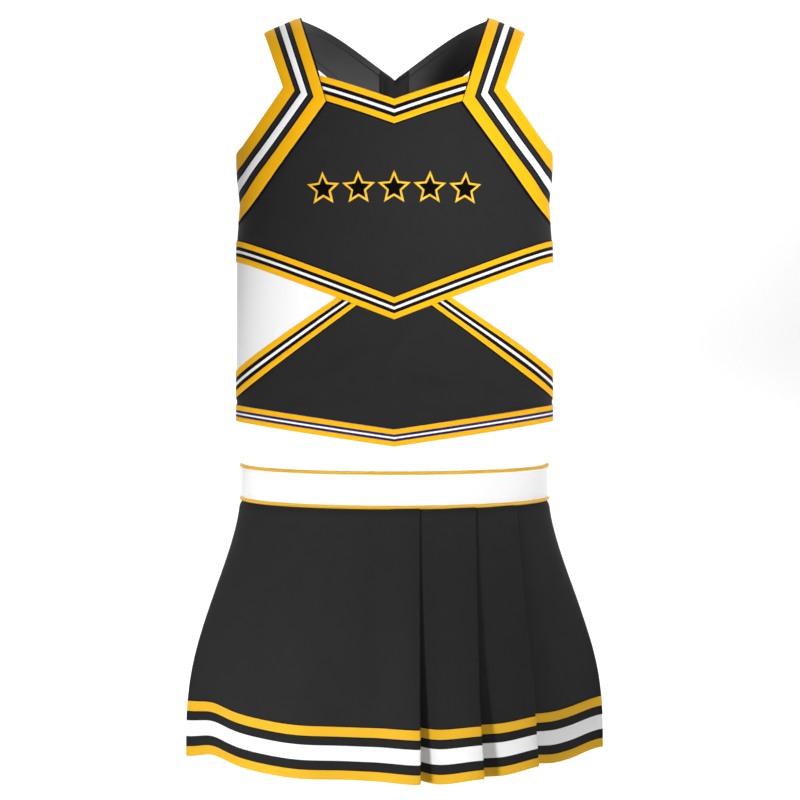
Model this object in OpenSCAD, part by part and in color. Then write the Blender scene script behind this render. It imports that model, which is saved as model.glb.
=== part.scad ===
// Two-piece cheer uniform: a sleeveless shell top and a flared skirt with kick pleats,
// shown upright with the roundness of a wearer. Millimetres. The front faces -Y, +X is the
// wearer's left, +Z is up. The origin is on the shoulder line, midway between the straps.
// Heights are drops below the shoulder line, so they are negative along Z.

/* [Top] */
// Half of the width of the top at its side seams
top_half_w = 157.3; // [140:0.1:175]
// Depth of the front of the top at the chest
chest_depth = 95; // [80:1:110]
// Depth of the back of the top at its hem
back_depth = 96; // [85:1:105]
// How much shallower the front is at the waist
waist_shaping = 12; // [0:1:20]
// Forward lean of the straight back seam, in mm for each mm of height
back_lean = 0.06; // [0.02:0.01:0.1]
// Distance from the centre to the inner end of a strap on the shoulder
strap_tip_x = 94.6; // [85:0.1:100]
// Width of a strap on the shoulder, seen from the front
strap_w = 35.2; // [28:0.1:42]
// Drop of the front neckline at the centre
neck_drop = 97; // [85:1:110]
// Drop of the back neckline at its point
back_neck_drop = 46; // [35:1:55]
// Drop of the armhole where it meets the side seam
armhole_drop = 136; // [135:1:146]
// Drop of the top's hem at the side seams
top_hem_drop = 400.5; // [380:0.5:420]
// Extra drop of the hem point at the centre front
hem_point = 23; // [0:1:30]
// Thickness of the cloth
cloth_t = 1.2; // [0.8:0.1:1.6]

/* [Braid] */
// Thickness of the striped braid
braid_t = 1.1; // [0.8:0.1:1.6]
// Air between the cloth and the braid sewn on it
braid_air = 0.5; // [0.4:0.1:0.8]
// Height of the braid along the neckline
neck_braid_h = 23.6; // [18:0.1:28]
// Height of the chest chevron braid
chevron_h = 20.6; // [16:0.1:26]
// Height of the braid along the top's hem
hem_braid_h = 15.8; // [12:0.1:20]
// Drop of the chevron's upper edge at the side seams
chevron_side_drop = 222; // [210:1:230]
// Drop of the chevron's upper edge at its point
chevron_point_drop = 283; // [270:1:290]

/* [Stars] */
// Number of stars in the row across the chest
star_count = 5; // [3:1:5]
// Outer radius of a star's coloured backing
star_r = 16.5; // [12:0.5:16.5]
// Distance between the centres of two stars
star_pitch = 34; // [34:0.5:36]
// Drop of the row of stars
star_drop = 181; // [170:1:190]
// Width of the outline that the backing shows around a star
star_outline = 5; // [2:0.5:6]

/* [Skirt] */
// Half of the width of the waistband
waist_half_w = 152.6; // [145:0.1:153]
// Depth of the waistband in front and behind
waist_depth = 80; // [70:1:82]
// Drop of the waistband's upper edge at the sides
waist_drop = 446; // [444:1:450]
// Height of the waistband between its pipings
waist_h = 29; // [28:1:40]
// Thickness of the waistband
waist_t = 2; // [1.5:0.1:2.5]
// How much lower the waistband is at its centre front than at its sides
waist_dip = 5; // [0:1:5]
// How much lower the waistband is at its centre back than at its sides
waist_back_dip = 14; // [5:1:14]
// Radius of the piping along the waistband
piping_r = 1.7; // [1.2:0.1:2]
// Half of the skirt's width at its hem
skirt_hem_half_w = 208; // [190:1:220]
// Depth of the front of the skirt at its hem
skirt_hem_depth = 118; // [105:1:130]
// Drop of the skirt's hem
skirt_hem_drop = 731; // [700:1:750]
// Slope of the straight centre-back seam of the skirt
skirt_back_slope = 0.2; // [0.1:0.01:0.25]
// Height of the striped band above the skirt's hem
hem_band_h = 51; // [40:1:60]
// How far a pleat's fold stands out at the hem
pleat_out = 15; // [8:1:16]

/* [Zips] */
// Length of the top's zip
top_zip_len = 346; // [300:1:350]
// Length of the skirt's zip
skirt_zip_len = 150; // [120:1:170]
// Length of a zip's pull tab
pull_len = 24; // [18:1:30]

/* [Hidden] */

FRONT = -1;
BACK = 1;
seam_gap = 0.4; // air left between two pieces that meet at a seam
edge = 0.99998; // how near a sheet comes to the side seam, as a share of the half width

black = [0.17, 0.17, 0.18];
gold = [0.99, 0.74, 0.12];
white = [0.96, 0.96, 0.97];
metal = [0.72, 0.72, 0.74];

// ---- surface of the top ----

// Height at which the front, and the back, start to roll over to the shoulder
roll_start_front = -160;
roll_start_back = -50;
// The narrowest place below the armhole: its height, how much narrower, and how tall
side_dip_z = -188;
side_dip = 3.3;
side_dip_spread = 22;
// Height of the waist's shaping, how tall it is, and where the back's depth is measured
waist_z = -310;
waist_spread = 80;
back_depth_z = -415;

// Outer slope of the shoulder: a shallow arch through both ends of a strap
strap_fall = 14.4;
shoulder_fall = strap_fall / (pow(strap_tip_x + strap_w, 2) - pow(strap_tip_x, 2));
function shoulder_z(x) = shoulder_fall * (pow(strap_tip_x, 2) - x * x);

function hump(z, at, spread) = exp(-pow((z - at) / spread, 2));
function half_w(z) = top_half_w - side_dip * hump(z, side_dip_z, side_dip_spread);
function depth_at(side, z) = side == FRONT
    ? chest_depth - waist_shaping * hump(z, waist_z, waist_spread)
    : back_depth - back_lean * (z - back_depth_z);
function roll_start(side) = side == FRONT ? roll_start_front : roll_start_back;
function roll(side, x, z) = let(z1 = roll_start(side))
    max(0, (z - z1) / (shoulder_z(x) - z1));
function depth_sq(side, x, z) = pow(depth_at(side, z), 2)
    * (1 - pow(roll(side, x, z), 2)) * (1 - pow(x / half_w(z), 2));

function unit(v) = v / norm(v);
step = 0.05;

// A point of the top at x across a nominal half width, height z and distance off outwards
function top_point(side, x, z, off) = let(
        k = max(-edge, min(edge, x / top_half_w)),
        px = half_w(z) * k,
        y = side * sqrt(max(0, depth_sq(side, px, z))),
        gx = depth_sq(side, px + step, z) - depth_sq(side, px - step, z),
        gz = depth_sq(side, px, z + step) - depth_sq(side, px, z - step),
        n = unit([-gx / (2 * step), 2 * y, -gz / (2 * step)]))
    [px, y, z] + off * n;

// ---- surface of the skirt ----

skirt_top_z = -waist_drop - waist_h - 1.5;
skirt_len = skirt_hem_drop + skirt_top_z;
skirt_top_half_w = waist_half_w + 1.2;
skirt_top_depth = waist_depth + 2;
// The skirt widens slowly at first, then fast, and hangs almost straight at its hem
flare_start = 1.65;
flare_end = 2.95;
function flare(z) = let(u = max(0, min(1, (skirt_top_z - z) / skirt_len)))
    1 - pow(1 - pow(u, flare_start), flare_end);
function skirt_half_w(z) = skirt_top_half_w + (skirt_hem_half_w - skirt_top_half_w) * flare(z);
function skirt_depth(side, z) = side == FRONT
    ? skirt_top_depth + (skirt_hem_depth - skirt_top_depth) * flare(z)
    : skirt_top_depth + skirt_back_slope * max(0, skirt_top_z - z);
// The skirt is an oval at the waist, and lies flatter towards its side seams lower down
function flatness(z) = 1 + 0.4 * flare(z);
function skirt_sq(side, x, z) = pow(skirt_depth(side, z), 2)
    * pow(max(0, 1 - pow(x / skirt_half_w(z), 2)), flatness(z));
function skirt_point(side, x, z, off) = let(
        px = max(-edge, min(edge, x / skirt_half_w(z))) * skirt_half_w(z),
        y = side * sqrt(max(0, skirt_sq(side, px, z))),
        gx = skirt_sq(side, px + step, z) - skirt_sq(side, px - step, z),
        gz = skirt_sq(side, px, z + step) - skirt_sq(side, px, z - step),
        n = unit([-gx / (2 * step), 2 * y, -gz / (2 * step)]))
    [px, y, z] + off * n;

// The waistband is an upright oval, lower at its centre front and lower still behind
function dip(side) = side == FRONT ? waist_dip : waist_back_dip;
function waist_point(side, x, z, off) = let(
        k = max(-edge, min(edge, x / waist_half_w)),
        w = sqrt(1 - k * k),
        n = unit([k / waist_half_w, side * w / waist_depth, 0]))
    [waist_half_w * k, side * waist_depth * w, z - dip(side) * w] + off * n;

// ---- sheets ----

// Places across a half width, closer together towards the side seams
function across(from, to, n, half) = [for (i = [0:n])
    let(a = asin(max(-1, min(1, from / half))), b = asin(max(-1, min(1, to / half))))
    half * sin(a + (b - a) * i / n)];
function down(from, to, n) = [for (i = [0:n]) from + (to - from) * i / n];
// Heights below the shoulder line, closer together where the cloth rolls over it
top_margin = 0.004;
function down_from_shoulder(to, n) = [for (i = [0:n]) to * pow(i / n, 2) - top_margin];
function flip(row) = [for (i = [len(row) - 1:-1:0]) row[i]];

// A closed sheet from two grids of points with the same rows and columns. Rows run
// downwards, and columns run to the right as seen from outside.
module sheet(outer, inner) {
    rows = len(outer);
    cols = len(outer[0]);
    count = rows * cols;
    points = concat([for (row = outer) each row], [for (row = inner) each row]);
    function o(i, j) = i * cols + j;
    function n(i, j) = count + i * cols + j;
    function quad(a, b, c, d) = [[a, b, c], [a, c, d]];
    faces = concat(
        [for (i = [0:rows - 2], j = [0:cols - 2])
            each quad(o(i, j), o(i, j + 1), o(i + 1, j + 1), o(i + 1, j))],
        [for (i = [0:rows - 2], j = [0:cols - 2])
            each quad(n(i, j), n(i + 1, j), n(i + 1, j + 1), n(i, j + 1))],
        [for (j = [0:cols - 2]) each quad(n(0, j), n(0, j + 1), o(0, j + 1), o(0, j))],
        [for (j = [0:cols - 2])
            each quad(n(rows - 1, j + 1), n(rows - 1, j), o(rows - 1, j), o(rows - 1, j + 1))],
        [for (i = [0:rows - 2]) each quad(n(i, 0), o(i, 0), o(i + 1, 0), n(i + 1, 0))],
        [for (i = [0:rows - 2])
            each quad(o(i, cols - 1), n(i, cols - 1), n(i + 1, cols - 1), o(i + 1, cols - 1))]);
    polyhedron(points = points, faces = faces, convexity = 6);
}

// A sheet over a grid of [x, z] places on a surface: at(side, x, z, off) gives its points,
// and out(x, z) is how far its inner face stands off the surface
module cloth(grid, side, at, thick, out) {
    rows = side == FRONT ? grid : [for (row = grid) flip(row)];
    outer = [for (row = rows) [for (p = row) at(side, p[0], p[1], out(p[0], p[1]) + thick)]];
    inner = [for (row = rows) [for (p = row) at(side, p[0], p[1], out(p[0], p[1]))]];
    sheet(outer, inner);
}

on_top = function(side, x, z, off) top_point(side, x, z, off);
on_skirt = function(side, x, z, off) skirt_point(side, x, z, off);
on_waist = function(side, x, z, off) waist_point(side, x, z, off);
base_out = function(x, z) -cloth_t;
braid_out = function(x, z) braid_air;

module top_cloth(grid, side) cloth(grid, side, on_top, cloth_t, base_out);
module top_braid(grid, side) cloth(grid, side, on_top, braid_t, braid_out);

// Grid between two edges that are functions of x, for the places xs
function band_grid(xs, upper, lower, n) = [for (i = [0:n])
    [for (x = xs) [x, upper(x) + (lower(x) - upper(x)) * i / n]]];

// ---- outlines of the top, as functions of x or z for the wearer's left half ----

neck_slope = 0.366;
neck_corner_x = 65;
chevron_slope = (chevron_point_drop - chevron_side_drop) / top_half_w;
hem_slope = hem_point / top_half_w;

neck_top = function(x) -neck_drop + neck_slope * abs(x);
neck_low = function(x) neck_top(x) - neck_braid_h;
chevron_top = function(x) -chevron_point_drop + chevron_slope * abs(x);
chevron_low = function(x) chevron_top(x) - chevron_h;
chevron_mid = function(x) chevron_top(x) - chevron_h / 2;
hem_low = function(x) -top_hem_drop - hem_point + hem_slope * abs(x);
hem_top = function(x) hem_low(x) + hem_braid_h;
back_hem = function(x) -top_hem_drop;
back_hem_top = function(x) -top_hem_drop + hem_braid_h;

// Edges of the diagonal braid: straight lines from the side seam up to the chevron. Each
// has its height at the centre line and its slope, and ends at a distance from the centre.
diagonal_upper_z = -246.95;
diagonal_upper_slope = 0.664;
diagonal_lower_z = -264.5;
diagonal_lower_slope = 0.726;
diagonal_upper = function(x) diagonal_upper_z - diagonal_upper_slope * abs(x);
diagonal_lower = function(x) diagonal_lower_z - diagonal_lower_slope * abs(x);
diagonal_mid = function(x) (diagonal_upper(x) + diagonal_lower(x)) / 2;
diagonal_end_upper = 54.5;
diagonal_end_lower = 36;

// Distance of the strap's edges from the centre, against height. Below its bend the strap
// curves a little as it goes round the chest, so that it looks straight from the front.
strap_inner_end = -203;
armhole_bend_z = -80;
strap_side = [[-205.4, top_half_w], [-194.4, 144.9], [-181.3, 132.5], [-154.2, 107.4],
    [-126.2, 85.5], [-97.3, 64.5]];
strap_inner = concat(strap_side, [[-62.5, 74.5], [0, strap_tip_x]]);
bib_edge = [for (i = [len(strap_side) - 1:-1:0]) [strap_side[i][1], strap_side[i][0]]];
armhole_edge = [[-armhole_drop, top_half_w], [-132.2, 149], [-118.4, 136], [-103.5, 123.9],
    [armhole_bend_z, 106.5], [0, strap_tip_x + strap_w]];
// The armholes are cut in further behind, which leaves two straps and a narrow middle
back_armhole = [[-armhole_drop, top_half_w], [-134, 128], [-130, 104], [-123, 80],
    [-112, 60], [-97, 50], [-78, 47], [-60, 53], [-46, 66], [-36, 80], [-20, 104],
    [-8, 121], [0, strap_tip_x + strap_w]];
function inner_x(z) = lookup(z, strap_inner);
function outer_x(z) = z < -armhole_drop ? top_half_w : lookup(z, armhole_edge);
function back_outer_x(z) = z < -armhole_drop ? top_half_w : lookup(z, back_armhole);
neck_round = 1.25; // 1 would give a straight V, and more rounds it
function neck_edge_x(z) = z < -back_neck_drop ? 0
    : strap_tip_x * (1 - pow(min(1, -z / back_neck_drop), 1 / neck_round));

// Height of a place in a row: rows follow the shoulder's slope at the top and are level
// from lean_end down
lean_end = -60;
function row_z(z, x) = z + shoulder_z(x) * pow(max(0, 1 - z / lean_end), 2);
function strap_grid(zs, from, to, n) = [for (z = zs)
    [for (x = across(from(z), to(z), n, top_half_w)) [x, row_z(z, x)]]];

strap_rows = concat(down_from_shoulder(armhole_bend_z, 7),
    down(-88, -128, 3), [-armhole_drop], down(-148, strap_inner_end, 4));

// ---- front of the top ----

module front_bib_shape() {
    margin = 1;
    top_edge = function(x) abs(x) < neck_corner_x + 0.3 ? neck_top(x) - margin
        : lookup(abs(x), bib_edge) - margin;
    low_edge = function(x) chevron_mid(x) + seam_gap;
    right = concat(across(0, neck_corner_x, 5, top_half_w), [neck_corner_x + 0.8],
        across(78, 152, 6, top_half_w), [top_half_w]);
    left = [for (i = [len(right) - 1:-1:1]) -right[i]];
    top_cloth(band_grid(concat(left, right), top_edge, low_edge, 5), FRONT);
}

module front_bib() { color(black) front_bib_shape(); }

module front_midriff() {
    top_edge = function(x) min(chevron_mid(x), diagonal_mid(x)) - seam_gap;
    low_edge = function(x) hem_low(x) + 0.5;
    right = concat([0, 18, diagonal_end_lower], across(52, top_half_w, 8, top_half_w));
    left = [for (i = [len(right) - 1:-1:1]) -right[i]];
    color(black) top_cloth(band_grid(concat(left, right), top_edge, low_edge, 4), FRONT);
}

module side_insert() {
    top_edge = function(x) chevron_mid(x) - seam_gap;
    low_edge = function(x) diagonal_mid(x) + seam_gap;
    color(white) top_cloth(
        band_grid(across(diagonal_end_lower + 3, top_half_w, 9, top_half_w),
            top_edge, low_edge, 3), FRONT);
}
module side_insert_left() { side_insert(); }
module side_insert_right() { mirror([1, 0, 0]) side_insert(); }

module front_strap() {
    under = 0.5; // the braid hides this much along the strap's edges
    // The same width along the cloth is narrower in x near the side seam
    function tuck(x) = under * sqrt(1 - pow(x / top_half_w, 2));
    color(black) top_cloth(strap_grid(strap_rows,
        function(z) inner_x(z) + tuck(inner_x(z)),
        function(z) outer_x(z) - tuck(outer_x(z)), 4), FRONT);
}
module front_strap_left() { front_strap(); }
module front_strap_right() { mirror([1, 0, 0]) front_strap(); }

// ---- back of the top ----

zip_gap = 3.4; // half of the slot that the closed zip shows in
top_zip_z = -50;

// Rows over the shoulder, and along the armhole. Where the armhole turns level towards the
// side seam, the rows follow its places.
shoulder_rows = down_from_shoulder(-back_neck_drop + 3, 8);
armhole_level = back_armhole[1];
armhole_rows = concat([-46, -53, -60, -69, -78, -88, -97, -105, -112, -118, -123, -127, -130,
    -131.5, -133], [for (x = across(armhole_level[1], top_half_w, 6, top_half_w))
    armhole_level[0] - (armhole_drop + armhole_level[0])
        * (x - armhole_level[1]) / (top_half_w - armhole_level[1])]);
module back_panel() {
    rows = concat(shoulder_rows, [-back_neck_drop, top_zip_z + 0.5, top_zip_z - 0.5],
        [for (z = armhole_rows) if (z < top_zip_z) z],
        down(-165, -top_hem_drop + 0.5, 7));
    color(black) top_cloth(strap_grid(rows,
        function(z) max(z < top_zip_z ? zip_gap : seam_gap, neck_edge_x(z)),
        function(z) back_outer_x(z), 10), BACK);
}
module back_panel_left() { back_panel(); }
module back_panel_right() { mirror([1, 0, 0]) back_panel(); }

binding_w = 5;
binding_edge = 0.3; // air between the binding's outer edge and the edge of the cloth
binding_air = 0.9; // air under the armhole's binding, which bends more than other braid
binding_out = function(x, z) binding_air;
module back_neck_binding() {
    // The slanted edge needs twice the width near the point
    color(black) top_braid(strap_grid(shoulder_rows,
        function(z) neck_edge_x(z) + binding_edge,
        function(z) neck_edge_x(z) + binding_w * (1 - z / back_neck_drop), 1), BACK);
}
module back_neck_binding_left() { back_neck_binding(); }
module back_neck_binding_right() { mirror([1, 0, 0]) back_neck_binding(); }

// A binding runs along the edge, on the cloth. At the shoulder it ends level with the cloth.
module armhole_binding() {
    rows = concat(shoulder_rows, armhole_rows);
    path = [for (z = rows) let(x = back_outer_x(z)) [x, row_z(z, x)]];
    last = len(path) - 1;
    function inward(i) = let(d = unit(path[min(i + 1, last)] - path[max(i - 1, 0)]))
        [d[1], -d[0]];
    function place(p) = [p[0], min(p[1], shoulder_z(p[0]) - top_margin)];
    bands = [for (i = [0:last]) [place(path[i] + binding_w * inward(i)),
        place(path[i] + binding_edge * inward(i))]];
    color(black) cloth(bands, BACK, on_top, braid_t, binding_out);
}
module armhole_binding_left() { armhole_binding(); }
module armhole_binding_right() { mirror([1, 0, 0]) armhole_binding(); }

// ---- braids of the top ----

module neckline_braid() {
    end_top = 71.3;
    end_low = 63.9;
    places = down(-1, 1, 14);
    rows = [for (i = [0:1]) [for (u = places)
        let(x = u * (end_top + (end_low - end_top) * i))
        [x, i == 0 ? neck_top(x) : neck_low(x)]]];
    color(gold) top_braid(rows, FRONT);
}

module strap_braid() {
    color(gold) top_braid(strap_grid(strap_rows,
        function(z) inner_x(z), function(z) outer_x(z), 4), FRONT);
}
module strap_braid_left() { strap_braid(); }
module strap_braid_right() { mirror([1, 0, 0]) strap_braid(); }

module chest_chevron_braid() {
    xs = across(-top_half_w, top_half_w, 24, top_half_w);
    color(gold) top_braid(band_grid(xs, chevron_top, chevron_low, 1), FRONT);
}

module diagonal_braid() {
    places = down(0, 1, 9);
    function at_x(end, u) = end + (top_half_w - end) * sin(90 * u);
    rows = [
        [for (u = places) let(x = at_x(diagonal_end_upper, u)) [x, diagonal_upper(x)]],
        [for (u = places) let(x = at_x(diagonal_end_lower, u)) [x, diagonal_lower(x)]]];
    color(gold) top_braid(rows, FRONT);
}
module diagonal_braid_left() { diagonal_braid(); }
module diagonal_braid_right() { mirror([1, 0, 0]) diagonal_braid(); }

module hem_braid_front() {
    xs = across(-top_half_w, top_half_w, 24, top_half_w);
    color(gold) top_braid(band_grid(xs, hem_top, hem_low, 1), FRONT);
}
module hem_braid_back() {
    xs = across(zip_gap + 2, top_half_w, 11, top_half_w);
    color(gold) top_braid(band_grid(xs, back_hem_top, back_hem, 1), BACK);
}
module hem_braid_back_left() { hem_braid_back(); }
module hem_braid_back_right() { mirror([1, 0, 0]) hem_braid_back(); }

// ---- stars ----

notch_share = 0.46; // radius of a star's notches, as a share of its points' radius
module star(r) {
    inner_r = r * notch_share;
    polygon([for (i = [0:9]) let(q = i % 2 == 0 ? r : inner_r, a = 90 + 36 * i)
        [q * cos(a), q * sin(a)]]);
}
module star_row(r, off, thick) {
    for (i = [0:star_count - 1]) {
        x = (i - (star_count - 1) / 2) * star_pitch;
        p = top_point(FRONT, x, -star_drop, off);
        q = top_point(FRONT, x, -star_drop, off + twill_t);
        yaw = atan2(q[0] - p[0], p[1] - q[1]);
        translate(p) rotate([90, 0, yaw]) linear_extrude(height = thick) star(r);
    }
}
twill_t = 0.5;
module star_backings() { color(gold) star_row(star_r, braid_air, twill_t); }
module star_faces() {
    color(black) star_row(star_r - star_outline, braid_air + twill_t + 0.05, twill_t);
}

// ---- zips: drawn hanging from the origin, with the cloth's outer face at y = 0 ----

tape_in = 1.2;
tape_out = 14;
tooth_in = 0.9;
tooth_out = 3;
slider_len = 11;
slider_half_w = 4.2;
bar_y = 3.3;
bar_r = 0.55;
eye_bore_r = 0.75;
eye_r = 1.35;
pull_w = 5.2;
pull_t = 1;
eye_w = 2.4;
first_stop = 2;
last_stop = 3.5;
round_fn = 48;

module box(x0, x1, y0, y1, z0, z1) {
    translate([x0, y0, z0]) cube([x1 - x0, y1 - y0, z1 - z0]);
}
module both_sides() {
    children();
    mirror([1, 0, 0]) children();
}
module zip_tapes(len) {
    both_sides() box(tape_in, tape_out, -2.5, -1.9, -len, 0);
}
module zip_teeth(len) {
    both_sides() box(tooth_in, tooth_out, -1.85, -0.3, -len + last_stop + 0.2, -first_stop - 0.2);
}
module zip_stops(len) {
    both_sides() box(tooth_in, tooth_out, -1.85, 0.1, -first_stop, 0);
    box(-tooth_out, tooth_out, -1.85, 0.1, -len, -len + last_stop);
}
module zip_slider() {
    top_z = -first_stop - 0.5;
    low_z = top_z - slider_len;
    bar_z = (top_z + low_z) / 2;
    box(-slider_half_w, slider_half_w, 0.4, 1.5, low_z, top_z);
    box(-slider_half_w, slider_half_w, -4, -3, low_z, top_z);
    box(-0.5, 0.5, -3.01, 0.41, bar_z - 1.5, bar_z + 1.5);
    both_sides() box(1.45, 2.35, 1.49, bar_y + 1, bar_z - 1.1, bar_z + 1.1);
    translate([-1.5, bar_y, bar_z]) rotate([0, 90, 0]) cylinder(r = bar_r, h = 3, $fn = round_fn);
}
function bar_drop() = first_stop + 0.5 + slider_len / 2;
module zip_pull() {
    translate([0, bar_y, -bar_drop()]) {
        rotate([0, 90, 0]) difference() {
            cylinder(r = eye_r, h = eye_w, center = true, $fn = round_fn);
            cylinder(r = eye_bore_r, h = eye_w + 1, center = true, $fn = round_fn);
        }
        difference() {
            union() {
                box(-eye_w / 2, eye_w / 2, -pull_t / 2, pull_t / 2, -5, -1.15);
                box(-pull_w / 2, pull_w / 2, -pull_t / 2, pull_t / 2, -pull_len, -4.5);
            }
            translate([0, 0, -pull_len + 5]) rotate([90, 0, 0])
                cylinder(r = 1.4, h = 3, center = true, $fn = round_fn);
        }
    }
}

module on_back_seam() {
    translate([0, depth_at(BACK, top_zip_z), top_zip_z])
        rotate([atan(back_lean), 0, 0]) children();
}
skirt_zip_z = -waist_drop - waist_h - waist_back_dip - 2 * piping_r - 0.6;
module on_skirt_seam() {
    translate([0, skirt_depth(BACK, skirt_zip_z), skirt_zip_z])
        rotate([atan(skirt_back_slope), 0, 0]) children();
}
module top_zip_tapes() { color(black) on_back_seam() zip_tapes(top_zip_len); }
module top_zip_teeth() { color(black) on_back_seam() zip_teeth(top_zip_len); }
module top_zip_stops() { color(metal) on_back_seam() zip_stops(top_zip_len); }
module top_zip_slider() { color(metal) on_back_seam() zip_slider(); }
module top_zip_pull() { color(metal) on_back_seam() zip_pull(); }
module skirt_zip_tapes() { color(black) on_skirt_seam() zip_tapes(skirt_zip_len); }
module skirt_zip_teeth() { color(black) on_skirt_seam() zip_teeth(skirt_zip_len); }
module skirt_zip_stops() { color(metal) on_skirt_seam() zip_stops(skirt_zip_len); }
module skirt_zip_slider() { color(metal) on_skirt_seam() zip_slider(); }
module skirt_zip_pull() { color(metal) on_skirt_seam() zip_pull(); }

// ---- waistband ----

band_top = function(x) -waist_drop;
band_low = function(x) -waist_drop - waist_h;
band_out = function(x, z) -waist_t;
module waist_cloth(xs, side) {
    cloth(band_grid(xs, band_top, band_low, 1), side, on_waist, waist_t, band_out);
}
module waistband_front() {
    color(white) waist_cloth(across(-waist_half_w, waist_half_w, 24, waist_half_w), FRONT);
}
module waistband_back() {
    color(white) waist_cloth(across(seam_gap, waist_half_w, 12, waist_half_w), BACK);
}
module waistband_back_left() { waistband_back(); }
module waistband_back_right() { mirror([1, 0, 0]) waistband_back(); }

// Piping: an eight-sided cord all the way round, parted at the centre back
piping_turns = 56;
piping_sides = 8;
module piping(z) {
    gap_deg = 0.5;
    out = 0.2;
    function ring(i) = let(a = 90 + gap_deg + (360 - 2 * gap_deg) * i / piping_turns,
            x = (waist_half_w + out) * cos(a), y = (waist_depth + out) * sin(a),
            c = [x, y, z - dip(y < 0 ? FRONT : BACK) * abs(sin(a))],
            n = unit([cos(a) / waist_half_w, sin(a) / waist_depth, 0]))
        [for (k = [0:piping_sides - 1]) let(b = 360 * k / piping_sides)
            c + piping_r * (n * cos(b) + [0, 0, 1] * sin(b))];
    points = [for (i = [0:piping_turns]) each ring(i)];
    function id(i, k) = i * piping_sides + k % piping_sides;
    faces = concat(
        [[for (k = [0:piping_sides - 1]) id(0, k)]],
        [for (i = [0:piping_turns - 1], k = [0:piping_sides - 1])
            each [[id(i, k), id(i + 1, k), id(i + 1, k + 1)],
                [id(i, k), id(i + 1, k + 1), id(i, k + 1)]]],
        [[for (k = [piping_sides - 1:-1:0]) id(piping_turns, k)]]);
    polyhedron(points = points, faces = faces, convexity = 4);
}
piping_air = 0.1;
module waist_piping_top() { color(gold) piping(-waist_drop + piping_r + piping_air); }
module waist_piping_bottom() {
    color(gold) piping(-waist_drop - waist_h - piping_r - piping_air);
}

// ---- skirt ----

skirt_edge_z = -waist_drop - waist_h - waist_dip - 2 * piping_r - 0.6;
back_dip_fade = 100; // height over which the back's rows go from the waist's dip to level
hem_z = -skirt_hem_drop;
kick_z = hem_z + 80; // the pleats spread more below this height
fold_inner = [[hem_z, 22], [skirt_edge_z, 23]];
fold_middle = [[hem_z, 78.5], [kick_z, 76], [skirt_edge_z, 76]];
fold_outer = [[hem_z, 129], [kick_z, 127], [skirt_edge_z, 115]];
tuck = 10; // how far a pleat runs behind the fold beside it
top_lift = 2; // how far a fold stands out at the waist
reach_inner = 45;
reach_middle = 40;
reach_outer = 38;

// How far a panel stands out at x: nothing until near its fold, then a smooth rise
function drop_share(z) = max(0, min(1, (skirt_edge_z - z) / (skirt_edge_z - hem_z)));
function lift(x, z, fold, reach) = let(u = max(0, min(1, 1 - (lookup(z, fold) - x) / reach)))
    (top_lift + (pleat_out - top_lift) * drop_share(z)) * u * u * (3 - 2 * u);
plain_out = function(x, z) -cloth_t;
front_out = function(x, z) -cloth_t + lift(x, z, fold_inner, reach_inner);
pleat_inner_out = function(x, z) -cloth_t + lift(x, z, fold_middle, reach_middle);
pleat_middle_out = function(x, z) -cloth_t + lift(x, z, fold_outer, reach_outer);

front_rows = down(skirt_edge_z, hem_z, 8);
band_rows = down(hem_z + hem_band_h, hem_z, 1);
function share_grid(zs, from, to, n) = [for (z = zs)
    let(half = skirt_half_w(z), a = asin(max(-1, min(1, from(z) / half))),
        b = asin(max(-1, min(1, to(z) / half))))
    [for (i = [0:n]) [half * sin(a + (b - a) * i / n), z]]];
from_side = function(z) -skirt_half_w(z);
to_side = function(z) skirt_half_w(z);
to_fold_inner = function(z) lookup(z, fold_inner);
to_fold_middle = function(z) lookup(z, fold_middle);
to_fold_outer = function(z) lookup(z, fold_outer);
from_fold_inner = function(z) lookup(z, fold_inner) - tuck;
from_fold_middle = function(z) lookup(z, fold_middle) - tuck;
from_fold_outer = function(z) lookup(z, fold_outer) - tuck;
skirt_zip_end = skirt_zip_z - skirt_zip_len;
from_zip = function(z) z < skirt_zip_end ? seam_gap : zip_gap;
back_rows = concat(down(skirt_edge_z, skirt_zip_end + 1, 5), down(skirt_zip_end - 1, hem_z, 4));

// The back's rows follow the waistband down at the centre back
function back_sag(x, z) = (waist_back_dip - waist_dip)
    * max(0, 1 - (skirt_edge_z - z) / back_dip_fade)
    * sqrt(max(0, 1 - pow(x / skirt_half_w(z), 2)));
module skirt_piece(zs, from, to, n, side, out, extra, thick) {
    level = share_grid(zs, from, to, n);
    grid = side == FRONT ? level
        : [for (row = level) [for (p = row) [p[0], p[1] - back_sag(p[0], p[1])]]];
    cloth(grid, side, on_skirt, thick, function(x, z) out(x, z) + extra);
}
module skirt_cloth(from, to, n, side, out) {
    rows = side == FRONT ? front_rows : back_rows;
    color(black) skirt_piece(rows, from, to, n, side, out, 0, cloth_t);
}
band_extra = cloth_t + braid_air;
band_t = 0.6;
module hem_band(from, to, n, side, out) {
    color(white) skirt_piece(band_rows, from, to, n, side, out, band_extra, band_t);
}
module skirt_front() { skirt_cloth(from_side, to_fold_inner, 14, FRONT, front_out); }
module kick_pleat_inner() {
    skirt_cloth(from_fold_inner, to_fold_middle, 7, FRONT, pleat_inner_out);
}
module kick_pleat_middle() {
    skirt_cloth(from_fold_middle, to_fold_outer, 7, FRONT, pleat_middle_out);
}
module kick_pleat_outer() { skirt_cloth(from_fold_outer, to_side, 7, FRONT, plain_out); }
module skirt_back_left() { skirt_cloth(from_zip, to_side, 10, BACK, plain_out); }
module skirt_back_right() { mirror([1, 0, 0]) skirt_back_left(); }
module hem_band_front() { hem_band(from_side, to_fold_inner, 14, FRONT, front_out); }
module hem_band_pleat_inner() {
    hem_band(from_fold_inner, to_fold_middle, 7, FRONT, pleat_inner_out);
}
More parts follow.
